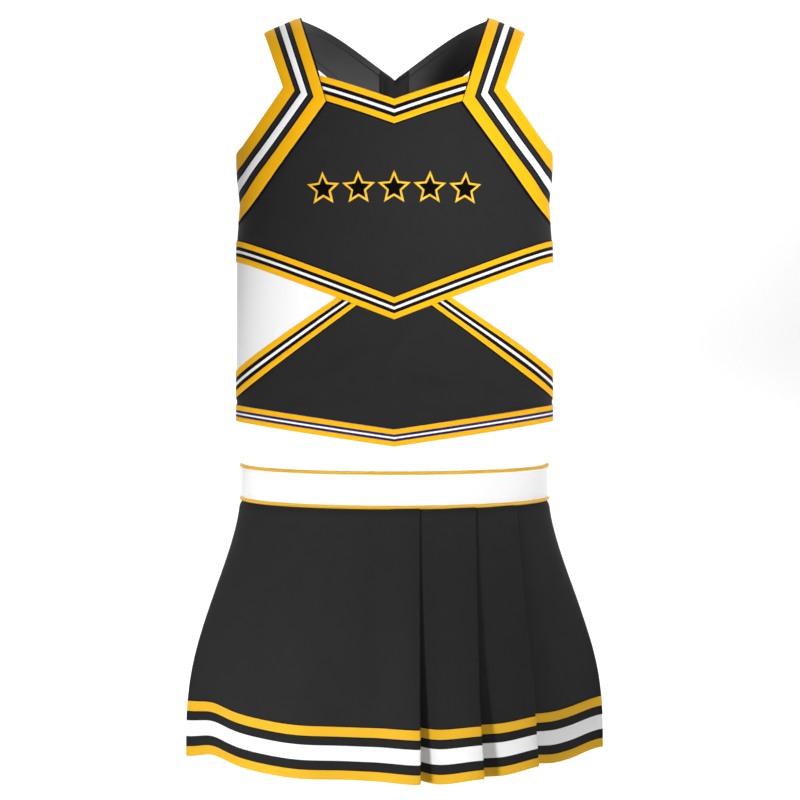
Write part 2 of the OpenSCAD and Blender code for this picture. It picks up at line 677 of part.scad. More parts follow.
module hem_band_pleat_middle() {
    hem_band(from_fold_middle, to_fold_outer, 7, FRONT, pleat_middle_out);
}
module hem_band_pleat_outer() { hem_band(from_fold_outer, to_side, 7, FRONT, plain_out); }
module hem_band_back_left() { hem_band(from_zip, to_side, 10, BACK, plain_out); }
module hem_band_back_right() { mirror([1, 0, 0]) hem_band_back_left(); }

// ---- waistband closure: a tab over the centre back, held by a snap ----

tab_hinge_x = -13;
tab_end_x = 15;
tab_y = waist_depth + 1.8;
tab_t = 1.4;
tab_h = 22;
tab_low = -waist_drop - waist_back_dip - (waist_h + tab_h) / 2;
snap_x = 9;
snap_z = tab_low + tab_h / 2;
shank_r = 2.5;
cap_r = 5.5;
socket_r = 4.4;
socket_bore_r = 2.4;
stud_r = 2.1;

module along_y(x, z, y0, y1, r) {
    translate([x, y0, z]) rotate([-90, 0, 0]) cylinder(r = r, h = y1 - y0, $fn = round_fn);
}
module waist_tab() {
    color(white) difference() {
        box(tab_hinge_x, tab_end_x, tab_y, tab_y + tab_t, tab_low, tab_low + tab_h);
        along_y(snap_x, snap_z, tab_y - 1, tab_y + tab_t + 1, shank_r + 0.1);
    }
}
module snap_cap() {
    color(metal) difference() {
        union() {
            along_y(snap_x, snap_z, tab_y + tab_t + 0.05, tab_y + tab_t + 1.2, cap_r);
            along_y(snap_x, snap_z, tab_y - 0.9, tab_y + tab_t + 0.1, shank_r);
            along_y(snap_x, snap_z, tab_y - 0.9, tab_y - 0.05, socket_r);
        }
        along_y(snap_x, snap_z, tab_y - 2, tab_y + 0.4, socket_bore_r);
    }
}
module snap_stud() {
    color(metal) {
        along_y(snap_x, snap_z, waist_depth + 0.1, waist_depth + 0.5, socket_r);
        along_y(snap_x, snap_z, waist_depth + 0.45, tab_y + 0.1, stud_r);
    }
}

front_bib();
front_midriff();
side_insert_left();
side_insert_right();
front_strap_left();
front_strap_right();
back_panel_left();
back_panel_right();
back_neck_binding_left();
back_neck_binding_right();
armhole_binding_left();
armhole_binding_right();
neckline_braid();
strap_braid_left();
strap_braid_right();
chest_chevron_braid();
diagonal_braid_left();
diagonal_braid_right();
hem_braid_front();
hem_braid_back_left();
hem_braid_back_right();
star_backings();
star_faces();
top_zip_tapes();
top_zip_teeth();
top_zip_stops();
top_zip_slider();
top_zip_pull();
waistband_front();
waistband_back_left();
waistband_back_right();
waist_piping_top();
waist_piping_bottom();
skirt_front();
kick_pleat_inner();
kick_pleat_middle();
kick_pleat_outer();
skirt_back_left();
skirt_back_right();
hem_band_front();
hem_band_pleat_inner();
hem_band_pleat_middle();
hem_band_pleat_outer();
hem_band_back_left();
hem_band_back_right();
skirt_zip_tapes();
skirt_zip_teeth();
skirt_zip_stops();
skirt_zip_slider();
skirt_zip_pull();
waist_tab();
snap_cap();
snap_stud();
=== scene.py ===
"""Looks of the two-piece cheer uniform: a sleeveless shell top and a skirt with kick pleats.

Everything is drawn in millimetres in the CAD's own frame (origin on the shoulder line, front
towards -Y, +X the wearer's left, heights as drops below the shoulder) and turned into metres
when a mesh is made. Places come from the frame's boxes."""
import math

import bmesh
import bpy
import numpy as np
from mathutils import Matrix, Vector


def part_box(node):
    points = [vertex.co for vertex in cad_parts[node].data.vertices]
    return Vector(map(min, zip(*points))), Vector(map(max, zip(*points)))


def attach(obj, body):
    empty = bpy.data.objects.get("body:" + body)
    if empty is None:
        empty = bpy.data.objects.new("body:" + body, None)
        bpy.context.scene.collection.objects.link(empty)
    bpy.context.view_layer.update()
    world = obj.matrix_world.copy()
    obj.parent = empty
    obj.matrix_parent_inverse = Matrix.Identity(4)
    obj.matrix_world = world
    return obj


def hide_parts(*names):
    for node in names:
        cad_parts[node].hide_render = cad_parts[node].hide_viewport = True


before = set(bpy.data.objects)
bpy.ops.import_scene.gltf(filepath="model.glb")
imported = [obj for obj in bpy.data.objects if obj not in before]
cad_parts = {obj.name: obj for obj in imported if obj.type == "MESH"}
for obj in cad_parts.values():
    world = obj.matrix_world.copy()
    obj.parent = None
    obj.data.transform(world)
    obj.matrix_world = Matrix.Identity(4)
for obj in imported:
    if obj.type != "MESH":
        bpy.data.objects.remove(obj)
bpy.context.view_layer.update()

MM = 0.001
FRONT, BACK = -1, 1
SIDES = (("left", 1), ("right", -1))
QUARTER = math.pi / 2


def box_mm(node):
    """The lowest and highest corner of a CAD node, in millimetres."""
    low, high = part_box(node)
    return np.array(low) / MM, np.array(high) / MM


# ---------- camera, lights and stage

CAMERA_DISTANCE = 1.5
PICTURE_WIDTH = 0.8  # metres across the picture at the object's middle
PICTURE_MID_X = 0.0055
PICTURE_MID_Z = -0.38
FLOOR_Z = -1.12
SENSOR = 36.0

scene = bpy.context.scene
scene.view_settings.view_transform = "Standard"
scene.view_settings.look = "None"


def add_camera():
    data = bpy.data.cameras.new("camera")
    data.sensor_width = SENSOR
    data.lens = SENSOR * CAMERA_DISTANCE / PICTURE_WIDTH
    camera = bpy.data.objects.new("camera", data)
    camera.location = (PICTURE_MID_X, -CAMERA_DISTANCE, PICTURE_MID_Z)
    camera.rotation_euler = (math.radians(90), 0, 0)
    scene.collection.objects.link(camera)
    scene.camera = camera


def add_area_light(name, place, aim, size, watts, spread_deg=180):
    data = bpy.data.lights.new(name, "AREA")
    data.shape = "DISK"
    data.size = size
    data.energy = watts
    data.spread = math.radians(spread_deg)
    lamp = bpy.data.objects.new(name, data)
    lamp.location = place
    lamp.rotation_euler = (Vector(aim) - Vector(place)).to_track_quat("-Z", "Y").to_euler()
    scene.collection.objects.link(lamp)


def add_world(strength):
    world = bpy.data.worlds.new("studio")
    world.use_nodes = True
    background = world.node_tree.nodes["Background"]
    background.inputs["Color"].default_value = (1.0, 1.0, 1.0, 1.0)
    background.inputs["Strength"].default_value = strength
    scene.world = world


def add_stage():
    """A pale floor that curves up into a wall far behind."""
    half, front, back, bend, height, steps = 6.0, -5.0, 2.2, 0.9, 4.5, 12
    profile = [(front, FLOOR_Z)]
    for i in range(steps + 1):
        a = QUARTER * i / steps
        profile.append((back + bend * math.sin(a), FLOOR_Z + bend * (1 - math.cos(a))))
    profile.append((back + bend, FLOOR_Z + height))
    verts = [(x, y, z) for x in (-half, half) for y, z in profile]
    n = len(profile)
    faces = [(i, i + 1, n + i + 1, n + i) for i in range(n - 1)]
    mesh = bpy.data.meshes.new("stage_floor")
    mesh.from_pydata(verts, [], faces)
    for p in mesh.polygons:
        p.use_smooth = True
    material = bpy.data.materials.new("stage_white")
    material.use_nodes = True
    shader = material.node_tree.nodes["Principled BSDF"]
    shader.inputs["Base Color"].default_value = (0.93, 0.93, 0.93, 1)
    shader.inputs["Roughness"].default_value = 0.9
    mesh.materials.append(material)
    floor = bpy.data.objects.new("stage_floor", mesh)
    scene.collection.objects.link(floor)


MIDDLE = (0.0, 0.0, -0.38)
LIGHTS = [  # name, place, aim, size, watts and, for a narrow one, its spread in degrees
    ("fill", (0.2, -2.6, 0.1), MIDDLE, 1.6, 1.3),
    ("skirt_key", (-1.5, -2.0, -0.55), (0.02, 0.0, -0.68), 0.4, 1.0, 23),
    ("top_key", (0.9, -2.2, 0.1), (0.0, 0.0, -0.1), 0.5, 1.1, 22),
    ("right_edge", (2.4, -0.1, -0.45), (0.0, -0.05, -0.5), 0.5, 0.45, 26),
    ("back_left_light", (-1.4, 1.9, 0.7), MIDDLE, 1.4, 12),
    ("back_right_light", (1.4, 1.9, 0.7), MIDDLE, 1.4, 12),
    ("wall_2.0", (0.0, 2.0, 2.2), (0.0, 3.0, -0.4), 2.5, 64),
    ("wall_2.4", (0.0, 2.4, 2.2), (0.0, 3.0, -0.4), 2.5, 64),
]
WORLD_STRENGTH = 0.2
add_camera()
add_stage()
add_world(WORLD_STRENGTH)
for light in LIGHTS:
    add_area_light(*light)

# ---------- materials

CLOTH_UV = "cloth"


class Shader:
    """A principled material with short calls for the nodes that a cloth needs."""

    def __init__(self, name, roughness, **sockets):
        self.material = bpy.data.materials.new(name)
        self.material.use_nodes = True
        self.nodes = self.material.node_tree.nodes
        self.links = self.material.node_tree.links
        self.bsdf = self.nodes["Principled BSDF"]
        self.bsdf.inputs["Roughness"].default_value = roughness
        for key, value in sockets.items():
            self.bsdf.inputs[key.replace("_", " ")].default_value = value

    def put(self, socket, value):
        if isinstance(value, bpy.types.NodeSocket):
            self.links.new(value, socket)
        else:
            socket.default_value = value

    def math(self, operation, a, b=0.0, c=0.0):
        node = self.nodes.new("ShaderNodeMath")
        node.operation = operation
        for socket, value in zip(node.inputs, (a, b, c)):
            self.put(socket, value)
        return node.outputs[0]

    def place(self):
        """Lengths along and across the cloth, in metres."""
        uv = self.nodes.new("ShaderNodeUVMap")
        uv.uv_map = CLOTH_UV
        split = self.nodes.new("ShaderNodeSeparateXYZ")
        self.links.new(uv.outputs[0], split.inputs[0])
        return split.outputs[0], split.outputs[1]

    def noise(self, scale, detail=2.0):
        coords = self.nodes.new("ShaderNodeTexCoord")
        node = self.nodes.new("ShaderNodeTexNoise")
        node.inputs["Scale"].default_value = scale
        node.inputs["Detail"].default_value = detail
        self.links.new(coords.outputs["Object"], node.inputs["Vector"])
        return node.outputs["Fac"]

    def ripple(self, length, pitch_mm):
        """0 to 1 and back over each pitch."""
        turns = self.math("MULTIPLY", length, 2 * math.pi / (pitch_mm * MM))
        return self.math("MULTIPLY_ADD", self.math("SINE", turns), 0.5, 0.5)

    def colour(self, base, factor, dark, light):
        """base times dark where factor is 0, and times light where it is 1."""
        mix = self.nodes.new("ShaderNodeMix")
        mix.data_type = "RGBA"
        mix.inputs[6].default_value = (*[min(1, c * dark) for c in base], 1)
        mix.inputs[7].default_value = (*[min(1, c * light) for c in base], 1)
        self.put(mix.inputs[0], factor)
        self.links.new(mix.outputs[2], self.bsdf.inputs["Base Color"])

    def bump(self, height, depth_mm):
        node = self.nodes.new("ShaderNodeBump")
        node.inputs["Distance"].default_value = depth_mm * MM
        node.inputs["Strength"].default_value = 1.0
        self.links.new(height, node.inputs["Height"])
        self.links.new(node.outputs[0], self.bsdf.inputs["Normal"])

    def roughness(self, factor, low, high):
        value = self.math("MULTIPLY_ADD", factor, high - low, low)
        self.links.new(value, self.bsdf.inputs["Roughness"])


def pattern_height(s, kind, pitch):
    along, across = s.place()
    if kind == "rib":
        return s.ripple(along, pitch)
    if kind == "twill":
        return s.ripple(s.math("ADD", along, across), pitch)
    if kind == "weave":
        return s.math("MULTIPLY", s.ripple(along, pitch), s.ripple(across, pitch))
    # knit: columns of small V stitches
    wales = s.math("FRACT", s.math("DIVIDE", along, pitch * MM))
    vee = s.math("ABSOLUTE", s.math("SUBTRACT", wales, 0.5))
    slanted = s.math("MULTIPLY_ADD", vee, -pitch * MM, across)
    return s.math("ADD", s.math("MULTIPLY", s.ripple(along, pitch), 0.5),
                  s.math("MULTIPLY", s.ripple(slanted, pitch * 0.8), 0.5))


def cloth(name, base, kind, pitch, depth, rough, fleck_and_stitch_shade, specular=0.3, sheen=0.0):
    """A textile: a stitch pattern in relief, small flecks and slow changes in colour, and painted
    shade that makes the colour darker in the stitches' hollows and lighter on their crests.
    """
    s = Shader(name, rough, Specular_IOR_Level=specular, Sheen_Weight=sheen,
               Sheen_Roughness=0.5)
    height = pattern_height(s, kind, pitch)
    # Painted shade: the stitch relief's height makes the colour darker in its hollows and lighter on
    # its crests; the slow noise is real mottling.
    mottle_and_stitch_shade = s.math("MULTIPLY_ADD", s.noise(14.0, 3.0), 0.5, s.math("MULTIPLY", height, 0.5))
    tone = s.math("MULTIPLY_ADD", s.noise(1400.0, 1.0), 0.35, s.math("MULTIPLY", mottle_and_stitch_shade, 0.65))
    s.colour(base, tone, 1 - fleck_and_stitch_shade, 1 + fleck_and_stitch_shade)
    s.roughness(s.noise(60.0, 2.0), rough - 0.07, rough + 0.07)
    s.bump(height, depth)
    return s.material


def polished(name, base, rough, metallic=1.0):
    """Metal with fine brushing and slight wear."""
    s = Shader(name, rough, Metallic=metallic)
    wear = s.noise(900.0, 3.0)
    s.colour(base, wear, 0.85, 1.12)
    s.roughness(s.noise(2500.0, 2.0), rough - 0.08, rough + 0.1)
    s.bump(wear, 0.02)
    return s.material


GOLD = (1.0, 0.49, 0.006)
SKIRT_GOLD = (0.84, 0.47, 0.025)
BLACK = (0.0175, 0.0175, 0.0182)
WHITE = (0.95, 0.95, 0.955)
CLOTHS = {  # colour, stitch, its pitch and depth in mm, roughness, fleck and painted stitch shade, specular and sheen
    "black_knit": (BLACK, "knit", 1.1, 0.12, 0.75, 0.12, 0.14),
    "black_lining": ((0.026, 0.026, 0.027), "knit", 0.9, 0.12, 0.55, 0.12, 0.5, 0.15),
    "white_knit": (WHITE, "knit", 1.1, 0.08, 0.85, 0.02),
    "gold_braid": (GOLD, "rib", 1.3, 0.14, 0.75, 0.06, 0.08),
    "dark_braid": ((0.021, 0.021, 0.023), "rib", 1.3, 0.14, 0.8, 0.2, 0.1),
    "white_braid": (WHITE, "rib", 1.3, 0.12, 0.8, 0.03),
    "navy_braid": ((0.0015, 0.002, 0.016), "rib", 1.3, 0.1, 0.8, 0.1, 0.1),
    "black_braid": ((0.004, 0.004, 0.005), "rib", 1.3, 0.1, 0.8, 0.2, 0.1),
    "indigo_braid": ((0.011, 0.003, 0.11), "rib", 1.3, 0.14, 0.75, 0.15),
    "gold_stripe": (SKIRT_GOLD, "knit", 1.1, 0.1, 0.8, 0.05, 0.1),
    "dark_stripe": ((0.0155, 0.016, 0.0165), "knit", 1.1, 0.1, 0.8, 0.15, 0.12),
    "white_stripe": (WHITE, "knit", 1.1, 0.08, 0.85, 0.02),
    "gold_piping": ((0.95, 0.53, 0.035), "twill", 1.6, 0.16, 0.5, 0.07),
    "black_binding": ((0.014, 0.014, 0.015), "twill", 1.2, 0.1, 0.7, 0.15),
    "gold_thread": ((1.0, 0.56, 0.02), "twill", 0.7, 0.06, 0.42, 0.08),
    "white_thread": ((0.85, 0.85, 0.86), "twill", 0.7, 0.06, 0.5, 0.05),
    "gold_twill": (GOLD, "twill", 1.0, 0.1, 0.6, 0.06),
    "black_twill": ((0.002, 0.002, 0.0022), "twill", 1.0, 0.12, 0.8, 0.2, 0.05),
    "zip_tape": ((0.016, 0.016, 0.018), "weave", 0.9, 0.1, 0.75, 0.2),
    "zip_coil": ((0.02, 0.02, 0.022), "rib", 1.1, 0.03, 0.35, 0.1),
}
METALS = {"zip_metal": ((0.03, 0.03, 0.033), 0.32, 0.6), "snap_metal": ((0.72, 0.72, 0.74), 0.22)}
M = {name: cloth(name, *values) for name, values in CLOTHS.items()}
M |= {name: polished(name, *values) for name, values in METALS.items()}

# ---------- meshes

FINE_EDGE = 0.8  # a row this near each rim keeps the flat of a sheet flat, in mm


def spread(count, length):
    """Places from 0 to 1, with one close to each end. length is in mm."""
    near = min(0.2, FINE_EDGE / max(length, 4 * FINE_EDGE))
    inner = np.linspace(0, 1, count + 1)[1:-1]
    inner = inner[(inner > 1.6 * near) & (inner < 1 - 1.6 * near)]
    return np.concatenate([[0, near], inner, [1 - near, 1]])


def unit(v):
    return v / np.maximum(np.linalg.norm(v, axis=-1, keepdims=True), 1e-9)


def circle(turns):
    return 2 * math.pi * np.arange(turns) / turns


def ring_faces(rings, turns, closed=False):
    """Faces between rings of points that follow one another; closed joins last to first."""
    return [[i * turns + k, i * turns + (k + 1) % turns, j * turns + (k + 1) % turns,
             j * turns + k]
            for i, j in zip(range(rings), [*range(1, rings), 0]) if closed or j
            for k in range(turns)]


def end_faces(rings, turns):
    return [list(range(turns)), [(rings - 1) * turns + k for k in range(turns)]]


def joined(parts):
    """Places and faces of several parts as one."""
    verts, faces = [], []
    for part_verts, part_faces in parts:
        base = len(verts)
        verts += [tuple(p) for p in part_verts]
        faces += [[base + i for i in face] for face in part_faces]
    return verts, faces


def make_piece(name, verts, faces, mats, body, uv=None, replaces=(), face_mats=None):
    """A mesh from places in mm, on its body; face_mats numbers the material of each face."""
    if face_mats is None:
        face_mats = np.zeros(len(faces))
    mesh = bpy.data.meshes.new(name)
    mesh.from_pydata((np.asarray(verts) * MM).tolist(), [], [list(map(int, f)) for f in faces])
    for m in mats:
        mesh.materials.append(M[m])
    mesh.polygons.foreach_set("material_index", np.asarray(face_mats, dtype=np.int32))
    mesh.polygons.foreach_set("use_smooth", np.ones(len(faces), dtype=bool))
    layer = mesh.uv_layers.new(name=CLOTH_UV)
    index = np.empty(len(mesh.loops), dtype=np.int32)
    mesh.loops.foreach_get("vertex_index", index)
    if uv is None:
        uv = np.asarray(verts)[:, [0, 2]]
    layer.data.foreach_set("uv", (np.asarray(uv)[index] * MM).astype(np.float32).ravel())
    bm = bmesh.new()
    bm.from_mesh(mesh)
    bmesh.ops.recalc_face_normals(bm, faces=bm.faces)
    bm.to_mesh(mesh)
    bm.free()
    piece = bpy.data.objects.new(name, mesh)
    scene.collection.objects.link(piece)
    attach(piece, body)
    if replaces:
        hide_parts(*replaces)
    return piece


def run_lengths(grid, axis):
    """How far along rows or columns each point of a grid lies, from the middle line."""
    steps = np.linalg.norm(np.diff(grid, axis=axis), axis=-1)
    pad = [(1, 0), (0, 0)] if axis == 0 else [(0, 0), (1, 0)]
    total = np.pad(np.cumsum(steps, axis=axis), pad)
    middle = np.take(total, [total.shape[axis] // 2], axis=axis)
    return total - middle


def perimeter(rows, cols):
    """The rim of a grid in order, each with its neighbour one step in."""
    ring = [(0, j) for j in range(cols - 1)] + [(i, cols - 1) for i in range(rows - 1)]
    ring += [(rows - 1, j) for j in range(cols - 1, 0, -1)] + [(i, 0) for i in range(rows - 1, 0, -1)]
    inside = [(min(max(i, 1), rows - 2), min(max(j, 1), cols - 2)) for i, j in ring]
    return ring, inside


def shell(name, outer, inner, mats, body, slot, row_mat=None, col_mat=None, back=0,
          along_rows=False, replaces=()):
    """A closed sheet between two grids of points, with a rounded rim. row_mat or col_mat
    gives the material of each strip of the outer face, and back that of the inner one."""
    rows, cols = outer.shape[:2]
    count = rows * cols
    ids = np.arange(count).reshape(rows, cols)
    ring, inside = perimeter(rows, cols)
    middle = (outer + inner) / 2
    ri, ci = np.array(ring).T
    ni, nj = np.array(inside).T
    thick = np.linalg.norm(outer - inner, axis=-1)
    rim = middle[ri, ci] + unit(middle[ri, ci] - middle[ni, nj]) * thick[ri, ci][:, None] * 0.45
    verts = np.concatenate([outer.reshape(-1, 3), inner.reshape(-1, 3), rim])
    a, b = ids[:-1, :-1].ravel(), ids[:-1, 1:].ravel()
    c, d = ids[1:, 1:].ravel(), ids[1:, :-1].ravel()
    front = np.stack([a, d, c, b], 1)
    rear = np.stack([a, b, c, d], 1) + count
    o = ids[ri, ci]
    r = 2 * count + np.arange(len(ring))
    o2, r2 = np.roll(o, -1), np.roll(r, -1)
    rim_out = np.stack([o, o2, r2, r], 1)
    rim_in = np.stack([r, r2, o2 + count, o + count], 1)
    strip = np.zeros((rows - 1, cols - 1), dtype=int)
    if row_mat is not None:
        strip[:] = np.asarray(row_mat)[:, None]
    if col_mat is not None:
        strip[:] = np.asarray(col_mat)[None, :]
    at = strip[np.minimum(ri, rows - 2), np.minimum(ci, cols - 2)]
    face_mats = np.concatenate([strip.ravel(), np.full(len(rear), back), at, at])
    u, v = run_lengths(outer, 1), run_lengths(outer, 0)
    uv = np.stack([v, u] if along_rows else [u, v], -1)
    uv_all = np.concatenate([uv.reshape(-1, 2), uv.reshape(-1, 2), uv[ri, ci]])
    faces = np.concatenate([front, rear, rim_out, rim_in])
    return make_piece(name, verts, faces, mats, body, uv_all, replaces, face_mats)


THIN = 0.0101  # the least width or length that declare works out for a sheet, in metres


def declare(grid, strip=False, flat=None):
    """Works out what size a sheet was cut to, from the lengths along its rows and its columns, but
    neither returns nor records it. A strip's width is its area over its length. flat is the cut's size
    in mm, if it isn't one that the rows and columns give."""
    wide = np.linalg.norm(np.diff(grid, axis=1), axis=-1).sum(axis=1).max() * MM
    long = np.linalg.norm(np.diff(grid, axis=0), axis=-1).sum(axis=0).max() * MM
    du, dv = np.diff(grid, axis=1)[:-1], np.diff(grid, axis=0)[:, :-1]
    area = np.linalg.norm(np.cross(du, dv), axis=-1).sum() * MM * MM
    if strip:
        wide, long = (wide, area / wide) if wide > long else (area / long, long)
    if flat:
        wide, long = np.array(flat) * MM
    wide, long = max(wide, THIN), max(long, THIN)


def grid_normals(grid):
    """Normals of a grid of points whose rows run down and whose columns run to the right."""
    du, dv = np.gradient(grid, axis=1), np.gradient(grid, axis=0)
    return unit(np.cross(dv, du))


def capsules(name, starts, ends, ups, radius, material, body, replaces=(), flat=1.0):
    """Many small round-ended threads, as one piece; flat squeezes them towards the cloth."""
    sides, rings = 6, [(-1.0, 0.3), (-0.72, 0.9), (0.0, 1.0), (0.72, 0.9), (1.0, 0.3)]
    starts, ends = np.asarray(starts), np.asarray(ends)
    mid, half = (starts + ends) / 2, (ends - starts) / 2
    t = unit(half)
    n = unit(ups - t * np.sum(ups * t, axis=-1, keepdims=True))
    b = np.cross(t, n)
    verts = np.stack([mid + half * s + n * (radius * r * math.cos(a) * flat)
                      + b * (radius * r * math.sin(a)) for s, r in rings for a in circle(sides)], 1)
    per = verts.shape[1]
    start, end = end_faces(len(rings), sides)
    thread = ring_faces(len(rings), sides) + [start[::-1], end]
    faces = [[m * per + i for i in face] for m in range(len(verts)) for face in thread]
    length = np.linalg.norm(ends - starts, axis=-1)
    around = np.tile(np.arange(per), len(verts)) * 0.1
    uv = np.stack([np.repeat(np.cumsum(length), per), around], -1)
    make_piece(name, verts.reshape(-1, 3), faces, [material], body, uv, replaces)


def along_path(points, ups, spacing, length):
    """Starts, ends and up directions of stitches of a given length along a path."""
    steps = np.linalg.norm(np.diff(points, axis=0), axis=1)
    dist = np.concatenate([[0], np.cumsum(steps)])
    count = int((dist[-1] - length) / spacing)
    at = (np.arange(count) + 0.5) * (dist[-1] / max(count, 1))

    def pick(values, where):
        return np.stack([np.interp(where, dist, values[:, k]) for k in range(3)], -1)

    return pick(points, at - length / 2), pick(points, at + length / 2), pick(ups, at)


STITCH_PITCH, STITCH_LEN, STITCH_R = 3.0, 2.3, 0.17


def stitch_lines(name, lines, thread, body):
    """Lines of stitches as one piece. Each line is a path and its up directions."""
    runs = [along_path(points, ups, STITCH_PITCH, STITCH_LEN) for points, ups in lines]
    starts, ends, ups = (np.concatenate(part) for part in zip(*runs))
    capsules(name, starts, ends, ups, STITCH_R, thread, body, flat=0.7)


# ---------- surface of the top

TOP_HALF_W = box_mm("front_midriff")[1][0]
CHEST_DEPTH = 95.0
BACK_DEPTH = 96.0
WAIST_SHAPING = 12.0
BACK_LEAN = 0.06
STRAP_TIP_X = 94.6
STRAP_W = 35.2
TOP_HEM = -box_mm("hem_braid_back_left")[0][2]
ROLL_START = {FRONT: -160.0, BACK: -50.0}
SHOULDER_FALL = 14.4 / ((STRAP_TIP_X + STRAP_W) ** 2 - STRAP_TIP_X ** 2)
ARMHOLE_DROP = 136.0


def hump(z, at, width):
    return np.exp(-(((z - at) / width) ** 2))


def smooth(t):
    t = np.clip(t, 0, 1)
    return t * t * (3 - 2 * t)


def clear_of_zip(x, flat, rise):
    """0 over the flat strip beside a zip, growing to 1 over the next rise mm."""
    return smooth((np.abs(x) - flat) / rise)


def half_w(z):
    return TOP_HALF_W - 3.3 * hump(z, -188.0, 22.0)


def shoulder_z(x):
    return SHOULDER_FALL * (STRAP_TIP_X ** 2 - x * x)


def depth_at(side, z):
    if side == FRONT:
        return CHEST_DEPTH - WAIST_SHAPING * hump(z, -310.0, 80.0)
    return BACK_DEPTH - BACK_LEAN * (z + TOP_HEM + 14.5)


def depth_sq(side, x, z):
    start = ROLL_START[side]
    roll = np.maximum(0, (z - start) / (shoulder_z(x) - start))
    return depth_at(side, z) ** 2 * (1 - roll ** 2) * (1 - (x / half_w(z)) ** 2)


# Soft creases of the top: side, centre x, centre z, angle, length, width and height in mm
CREASES = [
    (FRONT, -38, -345, 24, 60, 8, 2.6), (FRONT, 30, -352, -20, 70, 10, -2.4),
    (FRONT, 4, -330, 60, 34, 7, 1.9), (FRONT, -78, -372, 12, 60, 9, -2.0),
    (FRONT, 70, -368, -10, 55, 8, 2.1), (FRONT, 112, -330, -35, 60, 9, 2.1),
    (FRONT, -118, -322, 38, 60, 11, 1.2), (FRONT, 95, -150, -48, 60, 10, 1.2),
    (FRONT, -95, -152, 48, 60, 10, 1.2), (FRONT, -25, -215, 20, 70, 14, 0.9),
    (FRONT, 45, -228, -24, 70, 14, 0.9), (FRONT, 0, -140, 4, 70, 12, 0.7),
    (BACK, 60, -300, 30, 90, 16, 1.8), (BACK, -66, -310, -28, 90, 16, 1.8),
    (BACK, 90, -220, 52, 70, 14, 1.6), (BACK, -92, -214, -50, 70, 14, 1.6),
    (BACK, 50, -110, -30, 60, 12, 1.2), (BACK, -54, -118, 30, 60, 12, 1.2),
    (BACK, 96, -352, 10, 70, 12, 1.5), (BACK, -90, -356, -12, 70, 12, -1.5),
]


def top_folds(side, x, z):
    out = np.zeros(np.broadcast(x, z).shape)
    for where, cx, cz, angle, length, width, height in CREASES:
        if where != side:
            continue
        a = math.radians(angle)
        s = (x - cx) * math.cos(a) + (z - cz) * math.sin(a)
        t = -(x - cx) * math.sin(a) + (z - cz) * math.cos(a)
        out = out + height * np.exp(-(s / length) ** 2 - ((t + 0.004 * s * s) / width) ** 2)
    beside_zip = 1.0 if side == FRONT else clear_of_zip(x, 7, 25)
    return out * (1 - np.clip(np.abs(x) / TOP_HALF_W, 0, 1) ** 10) * beside_zip


def top_point(side, x, z, off):
    """A point of the top at x across a nominal half width, height z, and off outwards."""
    x, z = np.broadcast_arrays(np.asarray(x, float), np.asarray(z, float))
    off = off + top_folds(side, x, z)
    k = np.clip(x / TOP_HALF_W, -0.99999, 0.99999)
    px = half_w(z) * k
    y = side * np.sqrt(np.maximum(0, depth_sq(side, px, z)))
    e = 0.05
    gx = (depth_sq(side, px + e, z) - depth_sq(side, px - e, z)) / (2 * e)
    gz = (depth_sq(side, px, z + e) - depth_sq(side, px, z - e)) / (2 * e)
    n = unit(np.stack([-gx, 2 * y, -gz], -1))
    return np.stack([px, y, z], -1) + n * np.asarray(off)[..., None]


def top_shell(name, x, z, side, out, thick, mats, slot, held="hung", rests_on=(),
              strip=False, flat=None, **more):
    outer = top_point(side, x, z, out + thick)
    piece = shell(name, outer, top_point(side, x, z, out), mats, "top", slot, **more)
    declare(outer, strip, flat)


# ---------- cloth of the top

CLOTH = 0.9
chevron_low_corner, chevron_high_corner = box_mm("chest_chevron_braid")
CHEVRON_H = 20.6
CHEVRON_SIDE = chevron_high_corner[2]
CHEVRON_POINT = chevron_low_corner[2] + CHEVRON_H
CHEVRON_SLOPE = (CHEVRON_SIDE - CHEVRON_POINT) / TOP_HALF_W
HEM_BRAID_H = 15.8
HEM_POINT = -box_mm("hem_braid_front")[0][2] - TOP_HEM
HEM_SLOPE = HEM_POINT / TOP_HALF_W
NECK_DROP = 97.0
NECK_SLOPE = 0.366
NECK_BRAID_H = 23.6
BACK_NECK_DROP = 46.0


def chevron_top(x):
    return CHEVRON_POINT + CHEVRON_SLOPE * np.abs(x)


def hem_low(x):
    return -TOP_HEM - HEM_POINT + HEM_SLOPE * np.abs(x)


def neck_top(x):
    return -NECK_DROP + NECK_SLOPE * np.abs(x)


def falling(x, start, height, slope):
    """The height at x of a line that falls outwards from a place and its mirror image."""
    return height - slope * (np.abs(x) - start)


def diagonal_upper(x):
    return falling(x, 54.9, -283.4, 0.664)


def diagonal_lower(x):
    return falling(x, 35.8, -290.5, 0.726)


def across(a, b, step):
    """Places across the oval from x = a to x = b, evenly spaced around it."""
    ta, tb = math.asin(max(-1, a / TOP_HALF_W)), math.asin(min(1, b / TOP_HALF_W))
    length = abs(tb - ta) * 120
    return TOP_HALF_W * np.sin(ta + (tb - ta) * spread(max(4, int(length / step)), length))


def with_crease(xs):
    """The same places with three close together around the mitred crease in the middle."""
    return np.sort(np.concatenate([xs[np.abs(xs) > 1.2], [-0.5, 0.0, 0.5]]))


def between(xs, upper, lower, vs):
    x = np.broadcast_to(xs, (len(vs), len(xs)))
    up, low = upper(xs), lower(xs)
    return x, up + (low - up) * vs[:, None]


STRAPS = ["front_strap_left_cloth", "front_strap_right_cloth"]
LINED = ["black_knit", "black_lining"]
BIB_HALF = 64.0  # half width of the bib's upper edge between the straps
INSERT_START = 39.0  # the inserts' points, hidden under the braids, in mm from the middle


